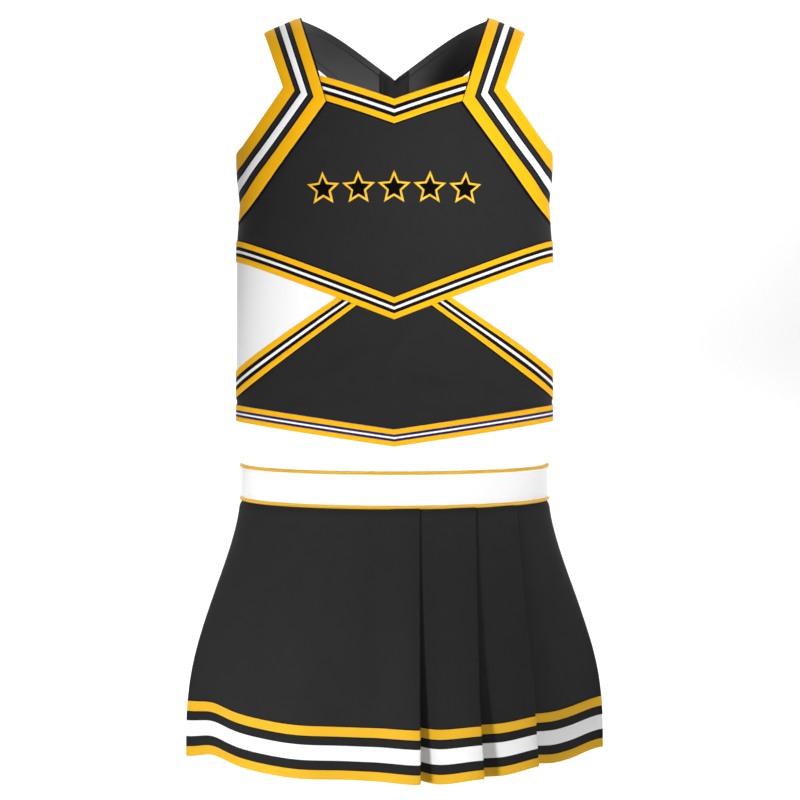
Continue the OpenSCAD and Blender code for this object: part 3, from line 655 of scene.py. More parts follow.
def front_cloths():
    def mid(x):
        return chevron_top(x) - CHEVRON_H / 2

    def bib_top(x):
        return np.where(np.abs(x) < BIB_HALF, neck_top(x) - 1.4, falling(x, BIB_HALF, -80, 1.26))

    xs = across(-TOP_HALF_W, TOP_HALF_W, 3.2)
    x, z = between(with_crease(xs), bib_top, mid, spread(40, 160))
    top_shell("front_bib_cloth", x, z, FRONT, -CLOTH, CLOTH, LINED, "black_knit", back=1,
              rests_on=STRAPS, replaces=["front_bib"])

    def diagonal(x):
        return (diagonal_upper(x) + diagonal_lower(x)) / 2

    def midriff_top(x):
        return np.minimum(mid(x), diagonal(x)) - 0.2

    xs = with_crease(across(-TOP_HALF_W, TOP_HALF_W, 3.2))
    x, z = between(xs, midriff_top, lambda x: hem_low(x) + 0.8, spread(28, 110))
    top_shell("front_midriff_cloth", x, z, FRONT, -CLOTH, CLOTH, LINED, "black_knit", back=1,
              rests_on=["front_bib_cloth"], replaces=["front_midriff"])
    xs = across(INSERT_START, TOP_HALF_W, 3.2)
    x, z = between(xs, lambda x: mid(x) - 0.2, lambda x: diagonal(x) + 0.2, spread(26, 60))
    for word, sign in SIDES:
        top_shell(f"side_insert_{word}_cloth", sign * x, z, FRONT, -CLOTH, CLOTH,
                  ["white_knit"], "white_knit", rests_on=["front_bib_cloth"],
                  replaces=["side_insert_" + word])


# The strap and armhole band as seen from the front: its outer and its inner edge, from the
# shoulder to the bend, and from the bend round the chest to the side seam
STRAP_TOP = ((STRAP_TIP_X + STRAP_W, 0.0), (STRAP_TIP_X, 0.0))
OUTER_SIDE = [(106.5, -80.0), (112.3, -88.0), (118.0, -95.8), (123.9, -103.5), (129.9, -111.0),
              (136.0, -118.4), (142.3, -125.5), (149.0, -132.2), (TOP_HALF_W, -ARMHOLE_DROP)]
INNER_SIDE = [(64.5, -97.3), (75.0, -111.9), (85.5, -126.2), (96.3, -140.3), (107.4, -154.2),
              (119.5, -167.9), (132.5, -181.3), (144.9, -194.4), (TOP_HALF_W, -205.4)]


def strap_grid(ws):
    """Rows run from the shoulder over the bend to the side seam; ws run across the band."""
    def side(t):
        knots = np.linspace(0, 1, len(OUTER_SIDE))
        outer, inner = (np.stack([np.interp(t, knots, np.array(e)[:, k]) for k in (0, 1)], -1)
                        for e in (OUTER_SIDE, INNER_SIDE))
        return outer[:, None] * (1 - ws)[None, :, None] + inner[:, None] * ws[None, :, None]

    tx = STRAP_TOP[0][0] + (STRAP_TOP[1][0] - STRAP_TOP[0][0]) * ws
    top = np.stack([tx, shoulder_z(tx) - 0.003], -1)
    bend = side(np.array([0.0]))[0]
    down = np.concatenate([np.linspace(0, 1, 44)[:-1] ** 2, [0.992]])[:, None, None]
    upper = top + (bend - top) * down
    lower = side(np.concatenate([[0.0, 0.008], np.linspace(0.03, 0.985, 30), [1.0]]))
    grid = np.concatenate([upper, lower])
    return grid[..., 0], grid[..., 1]


def strap_cloths():
    x, z = strap_grid(0.02 + 0.96 * spread(10, 36))
    for word, sign in SIDES:
        top_shell(f"front_strap_{word}_cloth", sign * x, z, FRONT, -2 * CLOTH - 0.05, CLOTH,
                  ["black_lining"], "black_knit", rests_on=["back_panel_" + word + "_cloth"],
                  strip=True, replaces=["front_strap_" + word])


NECK_ROUND = 1.25
ZIP_GAP = 2.9
TOP_ZIP_Z = -50.0


def neck_edge_x(z):
    share = np.minimum(1, -np.minimum(z, 0) / BACK_NECK_DROP) ** (1 / NECK_ROUND)
    return STRAP_TIP_X * (1 - share)


# The armhole's edge behind, from the side seam up to the shoulder
BACK_ARMHOLE = np.array([(TOP_HALF_W, -136), (128, -134), (104, -130), (80, -123), (60, -112),
                         (50, -97), (47, -78), (53, -60), (66, -46), (80, -36), (104, -20),
                         (121, -8), (STRAP_TIP_X + STRAP_W, 0)], float)


def armhole_x(z):
    return np.interp(z, BACK_ARMHOLE[:, 1], BACK_ARMHOLE[:, 0])


def row_height(z, x):
    """Rows follow the shoulder's slope at the top and are level from 60 mm down."""
    return z + shoulder_z(x) * np.maximum(0, 1 + z / 60) ** 2


def back_rows(to, count):
    return -0.003 + to * np.linspace(0, 1, count) ** 2


# Rows of the back between the shoulder and the side seam, closer where the armhole turns
ARMHOLE_ROWS = np.concatenate([back_rows(-44, 22), [-46, -48, -49.6, -50.4],
                               np.linspace(-53, -110, 28), np.linspace(-112, -128, 14),
                               -136 + 7.5 * np.linspace(1, 0, 14) ** 2])


BINDING_W, BINDING_ROWS = 5.0, 9
BACK_FLAT = (198.0, 470.0)  # the cut of half the back, from the shoulder to the hem


def back_cloths():
    zs = np.concatenate([ARMHOLE_ROWS, np.linspace(-140, -TOP_HEM + 1.5, 60),
                         [-TOP_HEM + 0.8]])
    slot = np.where(zs > TOP_ZIP_Z, 0.15, ZIP_GAP)
    low = np.maximum(slot, neck_edge_x(zs))[:, None]
    high = np.where(zs < -ARMHOLE_DROP, TOP_HALF_W, armhole_x(zs))[:, None]
    angle = np.arcsin(np.clip(low / TOP_HALF_W, -1, 1))
    last = np.arcsin(np.clip(high / TOP_HALF_W, -1, 1))
    x = TOP_HALF_W * np.sin(angle + (last - angle) * spread(46, 155)[None, :])
    z = row_height(zs[:, None], x)
    for word, sign in SIDES:
        top_shell(f"back_panel_{word}_cloth", sign * x, z, BACK, -CLOTH, CLOTH, LINED,
                  "black_knit", flat=BACK_FLAT, back=1, replaces=["back_panel_" + word])


def edge_band(path, width):
    """A band along an edge, from the edge inwards: x and z of each place across it."""
    d = np.gradient(path, axis=0)
    inward = unit(np.stack([d[:, 1], -d[:, 0]], -1))
    grid = path[:, None] + inward[:, None] * np.linspace(-0.05, 1, BINDING_ROWS)[None, :, None] * width
    x = np.clip(grid[..., 0], 0.1, TOP_HALF_W)
    return x, np.minimum(grid[..., 1], shoulder_z(x) - 0.003)


def bindings():
    """Folded tape over the raw edges of the back: round at the edge, on both faces."""
    roll = 0.75 * np.clip(np.sin(np.pi * np.linspace(0, 1, BINDING_ROWS)), 0, 1) ** 0.5
    edge = armhole_x(ARMHOLE_ROWS)
    neck_rows = back_rows(-BACK_NECK_DROP, 40)
    neck = neck_edge_x(neck_rows)
    paths = {"armhole_binding": np.stack([edge, row_height(ARMHOLE_ROWS, edge)], -1),
             "back_neck_binding": np.stack([neck, row_height(neck_rows, neck)], -1)[::-1]}
    for word, sign in SIDES:
        for node, path in paths.items():
            x, z = edge_band(path, BINDING_W)
            top_shell(f"{node}_{word}_tape", sign * x, z, BACK, -CLOTH - 0.6,
                      CLOTH + 0.7 + roll + 0 * x, ["black_binding", "black_lining"],
                      "black_binding", "folded", [f"back_panel_{word}_cloth"], strip=True,
                      along_rows=True, back=1, replaces=[f"{node}_{word}"])


def zip_guard():
    """A strip of knit inside the top, from the neck's V down over the closed zip."""
    half, thick, air = 15.0, 0.8, 5.2
    x = np.broadcast_to(np.linspace(-half, half, 41), (150, 41))
    share = 1 - np.abs(x) / STRAP_TIP_X
    high = row_height(-BACK_NECK_DROP * share ** NECK_ROUND, x) - 0.9
    low = TOP_ZIP_Z - TOP_ZIP_LEN
    z = high + (low - high) * np.linspace(0, 1, 150)[:, None] ** 1.6
    bulge = 1 - smooth((np.abs(x) - 5.5) / 8.5)
    depth = 1.5 + (1.3 + (air - 2.8) * bulge) * smooth((high - z) / 5)
    top_shell("top_zip_guard_cloth", x, z, BACK, -depth - thick, thick, ["black_knit"],
              "black_knit", "hung", ["back_panel_left_cloth", "back_panel_right_cloth"])


# ---------- braids

# A braid's bands from its outer to its inner edge: share of the width and yarn. Thin lines
# of navy and black yarn border the dark bands, and a navy selvedge shows along one edge.
BRAID_YARNS = ["gold_braid", "navy_braid", "dark_braid", "black_braid", "white_braid"]
DARK = [(0.032, 1), (0.08, 2), (0.033, 3)]
BRAID_BANDS = ([(0.275, 0)] + DARK + [(0.15, 4)] + DARK[::-1] + [(0.275, 0)])
DEEP = [(0.05, 1), (0.12, 3)]
DEEP_BANDS = ([(0.265, 0)] + DEEP + [(0.13, 4)] + DEEP[::-1] + [(0.265, 0)])
HEM_YARNS = ["gold_braid", "indigo_braid", "white_braid"]
HEM_BANDS = [(0.31, 0), (0.15, 1), (0.11, 2), (0.15, 1), (0.28, 0)]
BRAID_AIR = 0.06
BRAID_BASE = 0.75
BRAID_CROWN = 0.3
SELVEDGE = 0.045  # width of the selvedge, as a share of the braid's


def braid_profile(bands, selvedge=0):
    """Places across a braid, its thickness there, and the yarn of each strip. selvedge is
    -1, 0 or 1: at the first edge, none, or at the last."""
    total = sum(share for share, _ in bands)
    at, places, heights, strips = 0.0, [], [], []
    for share, yarn in bands:
        local = [0.0, 0.08, 0.3, 0.5, 0.7, 0.92] if share > 0.1 else [0.0, 0.5]
        for t in local:
            places.append((at + share * t) / total)
            crown = BRAID_CROWN * min(1, share / 0.15)
            heights.append(BRAID_BASE + crown * math.sin(math.pi * t) ** 0.5)
            strips.append(yarn)
        at += share
    places.append(1.0)
    heights.append(BRAID_BASE)
    if selvedge > 0:
        places += [1.0 + 0.1 * SELVEDGE, 1.0 + SELVEDGE]
        heights += [0.4, 0.4]
        strips += [1, 1]
    if selvedge < 0:
        places = [-SELVEDGE, -0.1 * SELVEDGE] + places
        heights = [0.4, 0.4] + heights
        strips = [1, 1] + strips
    return np.array(places), np.array(heights), strips


STITCH_AT = (0.035, 0.965)  # how far across a braid its two lines of stitches run
braid_stitches = []  # a path and its up directions for each line of stitches on the top


def sew(side, x, z, off):
    """Notes a line of stitches on the top."""
    points = top_point(side, x, z, off)
    braid_stitches.append((points, unit(top_point(side, x, z, off + 1.0) - points)))


def braid_rows(name, xs_of, upper, lower, side, replaces, rests_on, bands=BRAID_BANDS,
               yarns=BRAID_YARNS, selvedge=0):
    """A braid whose length runs across the garment: xs_of(w) gives the places along it."""
    ws, heights, strips = braid_profile(bands, selvedge)
    x = np.stack([xs_of(w) for w in ws])
    z = upper(x) + (lower(x) - upper(x)) * ws[:, None]
    thick = np.broadcast_to(heights[:, None], x.shape)
    for w in STITCH_AT:
        places = np.asarray(xs_of(w))
        sew(side, places, upper(places) + (lower(places) - upper(places)) * w,
            BRAID_AIR + np.interp(w, ws, heights))
    top_shell(name, x, z, side, BRAID_AIR, thick, yarns, "striped_braid", "laid", rests_on,
              strip=True, row_mat=strips, replaces=replaces)


DIAGONAL_START = (54.2, 35.4)  # where a diagonal's upper and lower edge meet the chevron
NECK_HALF = (71.1, 63.8)  # half widths of the neckline braid's upper and lower edge
BACK_BRAID_START = 5.6
BRAID_STEP = 3.0


def strap_braid(word, sign):
    ws, heights, strips = braid_profile(BRAID_BANDS, 1)
    x, z = strap_grid(ws)
    x = np.minimum(x, TOP_HALF_W)
    top_shell(f"strap_braid_{word}_trim", sign * x, z, FRONT, BRAID_AIR,
              np.broadcast_to(heights[None, :], x.shape), BRAID_YARNS, "striped_braid", "laid",
              [f"front_strap_{word}_cloth"], strip=True, col_mat=strips, along_rows=True,
              replaces=["strap_braid_" + word])
    for w in STITCH_AT:
        x, z = strap_grid(np.array([w]))
        sew(FRONT, sign * x[:, 0], z[:, 0], BRAID_AIR + np.interp(w, ws, heights))


def diagonal_braid(word, sign):
    upper_start, lower_start = DIAGONAL_START

    def along(w):
        start = upper_start + (lower_start - upper_start) * min(1, max(0, w))
        a = math.asin(start / TOP_HALF_W)
        return sign * TOP_HALF_W * np.sin(a + (QUARTER - a) * spread(46, 150))

    braid_rows(f"diagonal_braid_{word}_trim", along, diagonal_upper, diagonal_lower, FRONT,
               ["diagonal_braid_" + word], ["front_midriff_cloth", f"side_insert_{word}_cloth"],
               DEEP_BANDS, selvedge=1)


def braids():
    for word, sign in SIDES:
        strap_braid(word, sign)
        diagonal_braid(word, sign)
    neck_u = with_crease(np.linspace(-70, 70, 50)) / 70
    upper_half, lower_half = NECK_HALF
    braid_rows("neckline_braid_trim",
               lambda w: neck_u * (upper_half + (lower_half - upper_half) * w), neck_top,
               lambda x: neck_top(x) - NECK_BRAID_H, FRONT, ["neckline_braid"],
               ["front_bib_cloth"], DEEP_BANDS, selvedge=1)
    full = with_crease(across(-TOP_HALF_W, TOP_HALF_W, BRAID_STEP))
    braid_rows("chest_chevron_trim", lambda w: full, chevron_top,
               lambda x: chevron_top(x) - CHEVRON_H, FRONT, ["chest_chevron_braid"],
               ["front_bib_cloth", "front_midriff_cloth"], DEEP_BANDS, selvedge=-1)
    braid_rows("hem_braid_front_trim", lambda w: full, lambda x: hem_low(x) + HEM_BRAID_H,
               hem_low, FRONT, ["hem_braid_front"], ["front_midriff_cloth"], HEM_BANDS,
               HEM_YARNS, selvedge=-1)
    half = across(BACK_BRAID_START, TOP_HALF_W, BRAID_STEP)
    for word, sign in SIDES:
        braid_rows(f"hem_braid_back_{word}_trim", lambda w: sign * half,
                   lambda x: -TOP_HEM + HEM_BRAID_H + 0 * x, lambda x: -TOP_HEM + 0 * x, BACK,
                   ["hem_braid_back_" + word], [f"back_panel_{word}_cloth"], HEM_BANDS,
                   HEM_YARNS, selvedge=-1)
    stitch_lines("braid_edge_stitches", braid_stitches, "gold_thread", "top")


# ---------- stars

STAR_COUNT = 5
STAR_PITCH = 34.0
STAR_R = 16.5
STAR_Z = -181.0
STAR_OUTLINE = 5.0
STAR_NOTCH = 0.46  # radius of a star's notches, as a share of its points'


def star_radius(angle, outer):
    """Distance from a star's centre to its edge in a direction, point upwards."""
    step = math.pi / 5
    a = np.abs(np.mod(angle - math.pi / 2 + step, 2 * step) - step)
    notch = outer * STAR_NOTCH
    ex, ey = notch * math.cos(step) - outer, notch * math.sin(step)
    return outer * ey / (np.cos(a) * ey - np.sin(a) * ex)


def star_shape(cx, outer, out, thick):
    """A thin star on the cloth, crowned at its edge: rings from the middle outwards."""
    corners = np.mod(QUARTER + np.arange(10) * math.pi / 5, 2 * math.pi)
    around = np.linspace(0, 2 * math.pi, 160, endpoint=False)
    angle = np.unique(np.round(np.concatenate([around, corners]), 9))
    edge = star_radius(angle, outer)
    n = len(angle)
    rows = []
    for share, height in ((0.3, 1), (0.6, 1), (0.85, 1), (0.96, 1), (1.0, 0.7), (1.0, 0.0)):
        r = edge * share
        rows.append(top_point(FRONT, cx + r * np.cos(angle), STAR_Z + r * np.sin(angle),
                              out + thick * height))
    middle = top_point(FRONT, np.array([cx, cx]), STAR_Z, out + thick * np.array([1.0, 0.0]))
    verts = np.concatenate(rows + [middle])
    top, low = len(rows) * n, len(rows) * n + 1
    last = (len(rows) - 1) * n
    faces = ring_faces(len(rows), n)
    for j in range(n):
        k = (j + 1) % n
        faces += [[top, j, k], [low, last + k, last + j]]
    return verts, faces


def star_edge(k, outer):
    """The two ends of a star's straight edge number k, from the point upwards round."""
    a = QUARTER + k * math.pi / 5
    return [star_radius(np.array(t), outer) * np.array([math.cos(t), math.sin(t)])
            for t in (a + 1e-6, a + math.pi / 5 - 1e-6)]


STAR_LAYERS = [  # piece, radius, distance off the cloth, thickness, material and CAD node
    ("star_backing_twill", STAR_R, 0.08, 0.5, "gold_twill", "star_backings"),
    ("star_face_twill", STAR_R - STAR_OUTLINE + 0.5, 0.5, 0.55, "black_twill", "star_faces"),
]
SATIN_PITCH, SATIN_R = 0.62, 0.36


def stars():
    centres = [(i - (STAR_COUNT - 1) / 2) * STAR_PITCH for i in range(STAR_COUNT)]
    for name, radius, out, thick, material, node in STAR_LAYERS:
        verts, faces = joined([star_shape(cx, radius, out, thick) for cx in centres])
        make_piece(name, verts, faces, [material], "top", replaces=[node])
    starts, ends = [], []
    for cx in centres:
        for k in range(10):
            p, q = star_edge(k, STAR_R - 0.1), star_edge(k, STAR_R - STAR_OUTLINE)
            count = int(np.linalg.norm(p[1] - p[0]) / SATIN_PITCH)
            for t in (np.arange(count) + 0.5) / count:
                far, near = p[0] + (p[1] - p[0]) * t, q[0] + (q[1] - q[0]) * t
                starts.append(top_point(FRONT, cx + far[0], STAR_Z + far[1], 0.62))
                ends.append(top_point(FRONT, cx + near[0], STAR_Z + near[1], 0.95))
    ups = np.tile([[0.0, -1.0, 0.0]], (len(starts), 1))
    capsules("star_edge_stitches", starts, ends, ups, SATIN_R, "gold_thread", "top")


# ---------- surface of the skirt

waist_corner = box_mm("waistband_front")[1]
WAIST_HALF_W = waist_corner[0]
WAIST_DEPTH = 80.0
WAIST_TOP = waist_corner[2]
WAIST_H = 29.0
WAIST_LOW = WAIST_TOP - WAIST_H
WAIST_DIP = {FRONT: 5.0, BACK: 14.0}
PIPING_R = 1.7
SKIRT_TOP = WAIST_LOW - 1.5
HEM = box_mm("skirt_front")[0][2]
SKIRT_LEN = SKIRT_TOP - HEM
SKIRT_HALF_W = box_mm("skirt_back_left")[1][0]
SKIRT_DEPTH = 118.0
SKIRT_BACK_SLOPE = 0.2
FLARE_START, FLARE_END = 1.65, 2.95
PLEAT_OUT = 15.0
FOLDS = [([HEM, SKIRT_TOP], [22.0, 23.0]),
         ([HEM, HEM + 80, SKIRT_TOP], [78.5, 76.0, 76.0]),
         ([HEM, HEM + 80, SKIRT_TOP], [129.0, 127.0, 115.0])]
# Heights that the hem's curve gains at the start, the low place and the end of each panel
PANEL_SWAYS = [(0.0, 0.0, 0.0), (5.5, -3.0, 3.0), (2.5, 1.0, 7.5), (10.0, 2.0, -0.5)]
REACHES = [45.0, 42.0, 40.0]


def drop_share(z):
    """0 at the waistband and 1 at the hem."""
    return np.clip((SKIRT_TOP - z) / SKIRT_LEN, 0, 1)


def flare(z):
    """How far the skirt has widened at a height, from 0 to 1: slow, fast, then slow."""
    return 1 - (1 - drop_share(z) ** FLARE_START) ** FLARE_END


def skirt_half(z):
    return WAIST_HALF_W + 1.2 + (SKIRT_HALF_W - WAIST_HALF_W - 1.2) * flare(z)


def skirt_depth(side, z):
    if side == FRONT:
        return WAIST_DEPTH + 2 + (SKIRT_DEPTH - WAIST_DEPTH - 2) * flare(z)
    return WAIST_DEPTH + 2 + SKIRT_BACK_SLOPE * np.maximum(0, SKIRT_TOP - z)


def skirt_point(side, x, z, off):
    """A point off from the skirt's smooth surface: an oval at the waist, flatter and with
    sharper side seams at the hem."""
    a = skirt_half(z)
    k = np.clip(x / a, -1, 1)
    oval = np.sqrt(1 - k * k)
    lens = (1 - np.abs(k) ** 3) ** 1.4
    t = flare(z)
    d = skirt_depth(side, z)
    y = side * d * (oval * (1 - t) + lens * t)
    n = unit(np.stack([a * k / a ** 2, side * oval / d, 0 * k], -1))
    return np.stack([a * k, y, z + 0 * x], -1) + n * np.asarray(off)[..., None]


def skirt_front_path(z):
    """The front's cut at one height: places across and how far the cloth stands out, in the
    order in which one strip of cloth runs, with each pleat's fold and the return behind it."""
    drop = float(drop_share(z))
    half = float(skirt_half(np.array(z)))
    lift = 2.6 + (PLEAT_OUT - 2.6) * drop ** 2
    turn = 0.75 + 0.35 * drop
    under = 9 + 9 * drop
    folds = [float(np.interp(z, *f)) for f in FOLDS]
    xs, outs, sways = [], [], []

    def panel(index, start, end, reach, count):
        a, b = math.asin(max(-1, start / half)), math.asin(min(1, end / half))
        x = half * np.sin(a + (b - a) * np.linspace(0, 1, count))
        up = lift * smooth(1 - (end - x) / reach) if reach else 0 * x
        xs.extend(x)
        outs.extend(up)
        first, low, last = PANEL_SWAYS[index]
        share = (x - start) / (end - start)
        sways.extend(np.where(share < 0.5, first + (low - first) * smooth(share / 0.5),
                              low + (last - low) * smooth((share - 0.5) / 0.5)))

    def fold(index, at):
        for k in range(1, 6):
            a = math.pi * k / 6
            xs.append(at + turn * math.sin(a))
            outs.append(lift - turn + turn * math.cos(a))
        top, low = lift - 2 * turn, 2 * turn * 0.9
        for k in range(0, 9):
            s = k / 8
            xs.append(at - under * s)
            outs.append(top + (low - top) * (3 * s * s - 2 * s ** 3) * (1 if top > low else 0.5))
        for k in range(1, 5):
            a = math.pi * k / 5
            xs.append(at - under - turn * math.sin(a))
            outs.append(low / 2 + low / 2 * math.cos(a))
        sways.extend(np.linspace(PANEL_SWAYS[index][2], PANEL_SWAYS[index + 1][0], 20)[1:-1])
        return at - under

    start = -half
    for index, at in enumerate(folds):
        panel(index, start, at, REACHES[index], 30 if index else 70)
        start = fold(index, at)
    panel(3, start, half, 0, 34)
    return np.array(xs), np.array(outs), np.array(sways) * drop ** 3


def skirt_waves(side, x, z):
    """Slow undulation of the hanging cloth, growing towards the hem."""
    k = x / skirt_half(z)
    drop = drop_share(z)
    fade = 1 - np.abs(np.clip(k, -1, 1)) ** 6
    if side == FRONT:
        plain = smooth((10 - x) / 60)
        wave = 3.2 * np.cos((k + 0.52) * 9.0) * plain
        ripple = 0.8 * np.sin(k * 21 + z * 0.012)
        return (wave * drop ** 1.5 + ripple * drop) * fade
    wave = 7.0 * np.cos(np.abs(k) * 14.5 + 0.4 * np.sign(k)) + 2.0 * np.sin(k * 27)
    return wave * drop ** 1.4 * fade * clear_of_zip(x, 6, 24)


# Heights of the hem's stripes above the hem, from the edge up, with thin navy lines between
STRIPES = [(8.4, "gold_stripe"), (0.7, "navy_braid"), (8.2, "dark_stripe"),
           (13.9, "white_stripe"), (7.6, "dark_stripe"), (0.8, "navy_braid"),
           (8.9, "gold_stripe"), (0.8, "navy_braid")]
BAND_H = sum(height for height, _ in STRIPES)
STRIPE_RAISE = 0.25
SKIRT_CLOTH = 0.8
SKIRT_MATS = ["black_knit", "gold_stripe", "dark_stripe", "white_stripe", "black_lining",
              "navy_braid"]
SKIRT_EDGE = WAIST_LOW - 2 * PIPING_R + 0.2  # the cloth's top edge at the side seams
DIP_FADE = 110.0
# How far the hem rises to the left seam and falls to the right one, and its swell before the fall
SEAM_RISE, RIGHT_SWELL = 5.0, 2.5


def skirt_rows():
    """Row heights from the waist down, the ribbon's thickness at each, and the material of
    each strip between rows."""
    upper = np.concatenate([SKIRT_EDGE - np.array([0.0, 1.0, 2.2, 3.6, 5.2, 7.0]),
                            np.linspace(SKIRT_EDGE - 10.0, HEM + BAND_H + 1.0, 54)])
    rows, raised, mats = list(upper), [0.0] * len(upper), ["black_knit"] * len(upper)
    edge = HEM + BAND_H
    for height, material in reversed(STRIPES):
        local = [0.0, 0.06, 0.3, 0.5, 0.7, 0.94] if height > 2 else [0.0, 0.5]
        for s in local:
            rows.append(edge - height * s)
            raised.append(STRIPE_RAISE * (0.35 if s == 0.0 else 1.0))
            mats.append(material)
        edge -= height
    rows.append(HEM)
    raised.append(STRIPE_RAISE * 0.35)
    return np.array(rows), np.array(raised), [SKIRT_MATS.index(m) for m in mats]


def waist_dip(side, x, z):
    """Rows follow the waistband's dip at the top."""
    k = np.clip(x / skirt_half(z), -1, 1)
    fade = np.clip(1 - (SKIRT_EDGE - z) / DIP_FADE, 0, 1)
    return -WAIST_DIP[side] * np.sqrt(1 - k * k) * fade


def tucked(z):
    """How far the cloth's top edge lies in under the piping."""
    return -2.4 * (1 - smooth((SKIRT_EDGE - z) / 7.0))


def hem_sway(x, z):
    """How the hem's height changes around the skirt: the band is taller at the sides, and the
    hem rises to the wearer's left seam, and swells near the right one before it falls."""
    drop = drop_share(z) ** 3
    k = np.clip(x / skirt_half(z), -1, 1)
    up = z - HEM
    taller = 0.09 * np.abs(k) ** 3 * np.minimum(up, BAND_H) * (1 - smooth((up - BAND_H) / 90))
    swell = RIGHT_SWELL * hump(k, -0.87, 0.09) * (1 + 0.8 * np.clip(up / BAND_H, 0, 1))
    ends = SEAM_RISE * smooth((k - 0.8) / 0.2) - SEAM_RISE * smooth((-k - 0.85) / 0.15)
    return taller + drop * swell + drop * ends


def side_rise(x, z):
    """How much the back's hem rises to meet the end of the front's last panel."""
    near_seam = smooth((x / skirt_half(z) - 0.75) / 0.25)
    return PANEL_SWAYS[-1][2] * drop_share(z) ** 3 * near_seam


HEM_STITCH = 1.7  # distance of a line of stitches from the edge of the band
skirt_stitches = []  # a path and its up directions for each line of stitches on the skirt


def skirt_cloths():
    rows, raised, mats = skirt_rows()
    grid = []
    for z in rows:
        xs, outs, sways = skirt_front_path(z)
        outs = outs + skirt_waves(FRONT, xs, z) + tucked(z)
        level = z + waist_dip(FRONT, xs, z)
        p = skirt_point(FRONT, xs, level, outs)
        p[:, 2] = level + hem_sway(xs, z) + sways
        grid.append(p)
    pleats = ("inner", "middle", "outer")
    nodes = ["skirt_front"] + ["kick_pleat_" + p for p in pleats]
    nodes += ["hem_band_front"] + ["hem_band_pleat_" + p for p in pleats]
    skirt_shell("skirt_front_cloth", np.array(grid), raised, mats, nodes)
    zip_end = box_mm("skirt_zip_tapes")[0][2]
    for word, sign in SIDES:
        grid = []
        for z in rows:
            half = float(skirt_half(np.array(z)))
            open_share = float(np.clip((z - zip_end - 0.5) / 3.5, 0, 1))
            start = 0.05 + (ZIP_GAP - 0.05) * open_share
            a = math.asin(start / half)
            xs = sign * half * np.sin(a + (QUARTER - a) * spread(72, 240))
            level = z + waist_dip(BACK, xs, z)
            p = skirt_point(BACK, xs, level, skirt_waves(BACK, xs, z) + tucked(z))
            p[:, 2] = level + hem_sway(xs, z) + side_rise(xs, z)
            grid.append(p)
        skirt_shell(f"skirt_back_{word}_cloth", np.array(grid), raised, mats,
                    ["skirt_back_" + word, "hem_band_back_" + word], flip=sign > 0)
    stitch_lines("hem_band_stitches", skirt_stitches, "gold_thread", "skirt")


def skirt_shell(name, grid, raised, mats, replaces, flip=False):
    n = grid_normals(grid)
    if flip:
        n = -n
    outer = grid + n * (SKIRT_CLOTH / 2 + raised[:, None, None])
    inner = grid - n * SKIRT_CLOTH / 2
    heights = skirt_rows()[0]
    for height in (HEM + HEM_STITCH, HEM + BAND_H - HEM_STITCH):
        i = int(np.argmin(np.abs(heights - height)))
        skirt_stitches.append((outer[i], n[i]))
    piece = shell(name, outer, inner, SKIRT_MATS, "skirt", "black_knit", row_mat=mats,
                  back=SKIRT_MATS.index("black_lining"), replaces=replaces)
    declare(grid)


# ---------- waistband and piping

def waist_point(side, x, z, off):
    k = np.clip(x / WAIST_HALF_W, -0.99999, 0.99999)
    w = np.sqrt(1 - k * k)
    n = unit(np.stack([k / WAIST_HALF_W, side * w / WAIST_DEPTH, 0 * k], -1))
    p = np.stack([WAIST_HALF_W * k, side * WAIST_DEPTH * w, z - WAIST_DIP[side] * w], -1)
    return p + n * np.asarray(off)[..., None]


BAND_STITCH = 3.2  # distance of the stitches from the waistband's edges


def waistbands():
    lines = []
    vs = spread(16, WAIST_H)
    quilt = 0.45 * np.clip(np.sin(np.pi * vs), 0, 1) ** 0.5
    groove = 0.3 * (np.exp(-((vs * WAIST_H - BAND_STITCH) / 0.7) ** 2)
                    + np.exp(-(((1 - vs) * WAIST_H - BAND_STITCH) / 0.7) ** 2))
    spans = {"front": (FRONT, -1.0, 1.0), "back_left": (BACK, 0.0, 1.0),
             "back_right": (BACK, 0.0, -1.0)}
    for word, (side, a, b) in spans.items():
        t = QUARTER * (a + (b - a) * spread(110 if side == FRONT else 56, 190))
        t = t + (0.003 * b if a == 0 else 0)
        xs = WAIST_HALF_W * np.sin(np.clip(t, -QUARTER, QUARTER))
        x = np.broadcast_to(xs, (len(vs), len(xs)))
        z = WAIST_TOP + (WAIST_LOW - WAIST_TOP) * vs[:, None] + 0 * x
        pucker = 0.12 * np.sin(x * 0.55) * np.abs(vs[:, None] - 0.5) * 2
        out = waist_point(side, x, z, (quilt - groove)[:, None] + pucker)
        inn = waist_point(side, x, z, -2.0 + 0 * x)
        piece = shell(f"waistband_{word}_cloth", out, inn, ["white_knit"], "skirt",
                      "white_knit", replaces=["waistband_" + word])
        declare(out, strip=True)
        for z in (WAIST_TOP - BAND_STITCH, WAIST_LOW + BAND_STITCH):
            level = np.full_like(xs, z)
            lines.append((waist_point(side, xs, level, 0.1 + 0 * xs),
                          unit(waist_point(side, xs, level, 1 + 0 * xs)
                               - waist_point(side, xs, level, 0 * xs))))
    stitch_lines("waistband_stitches", lines, "white_thread", "skirt")


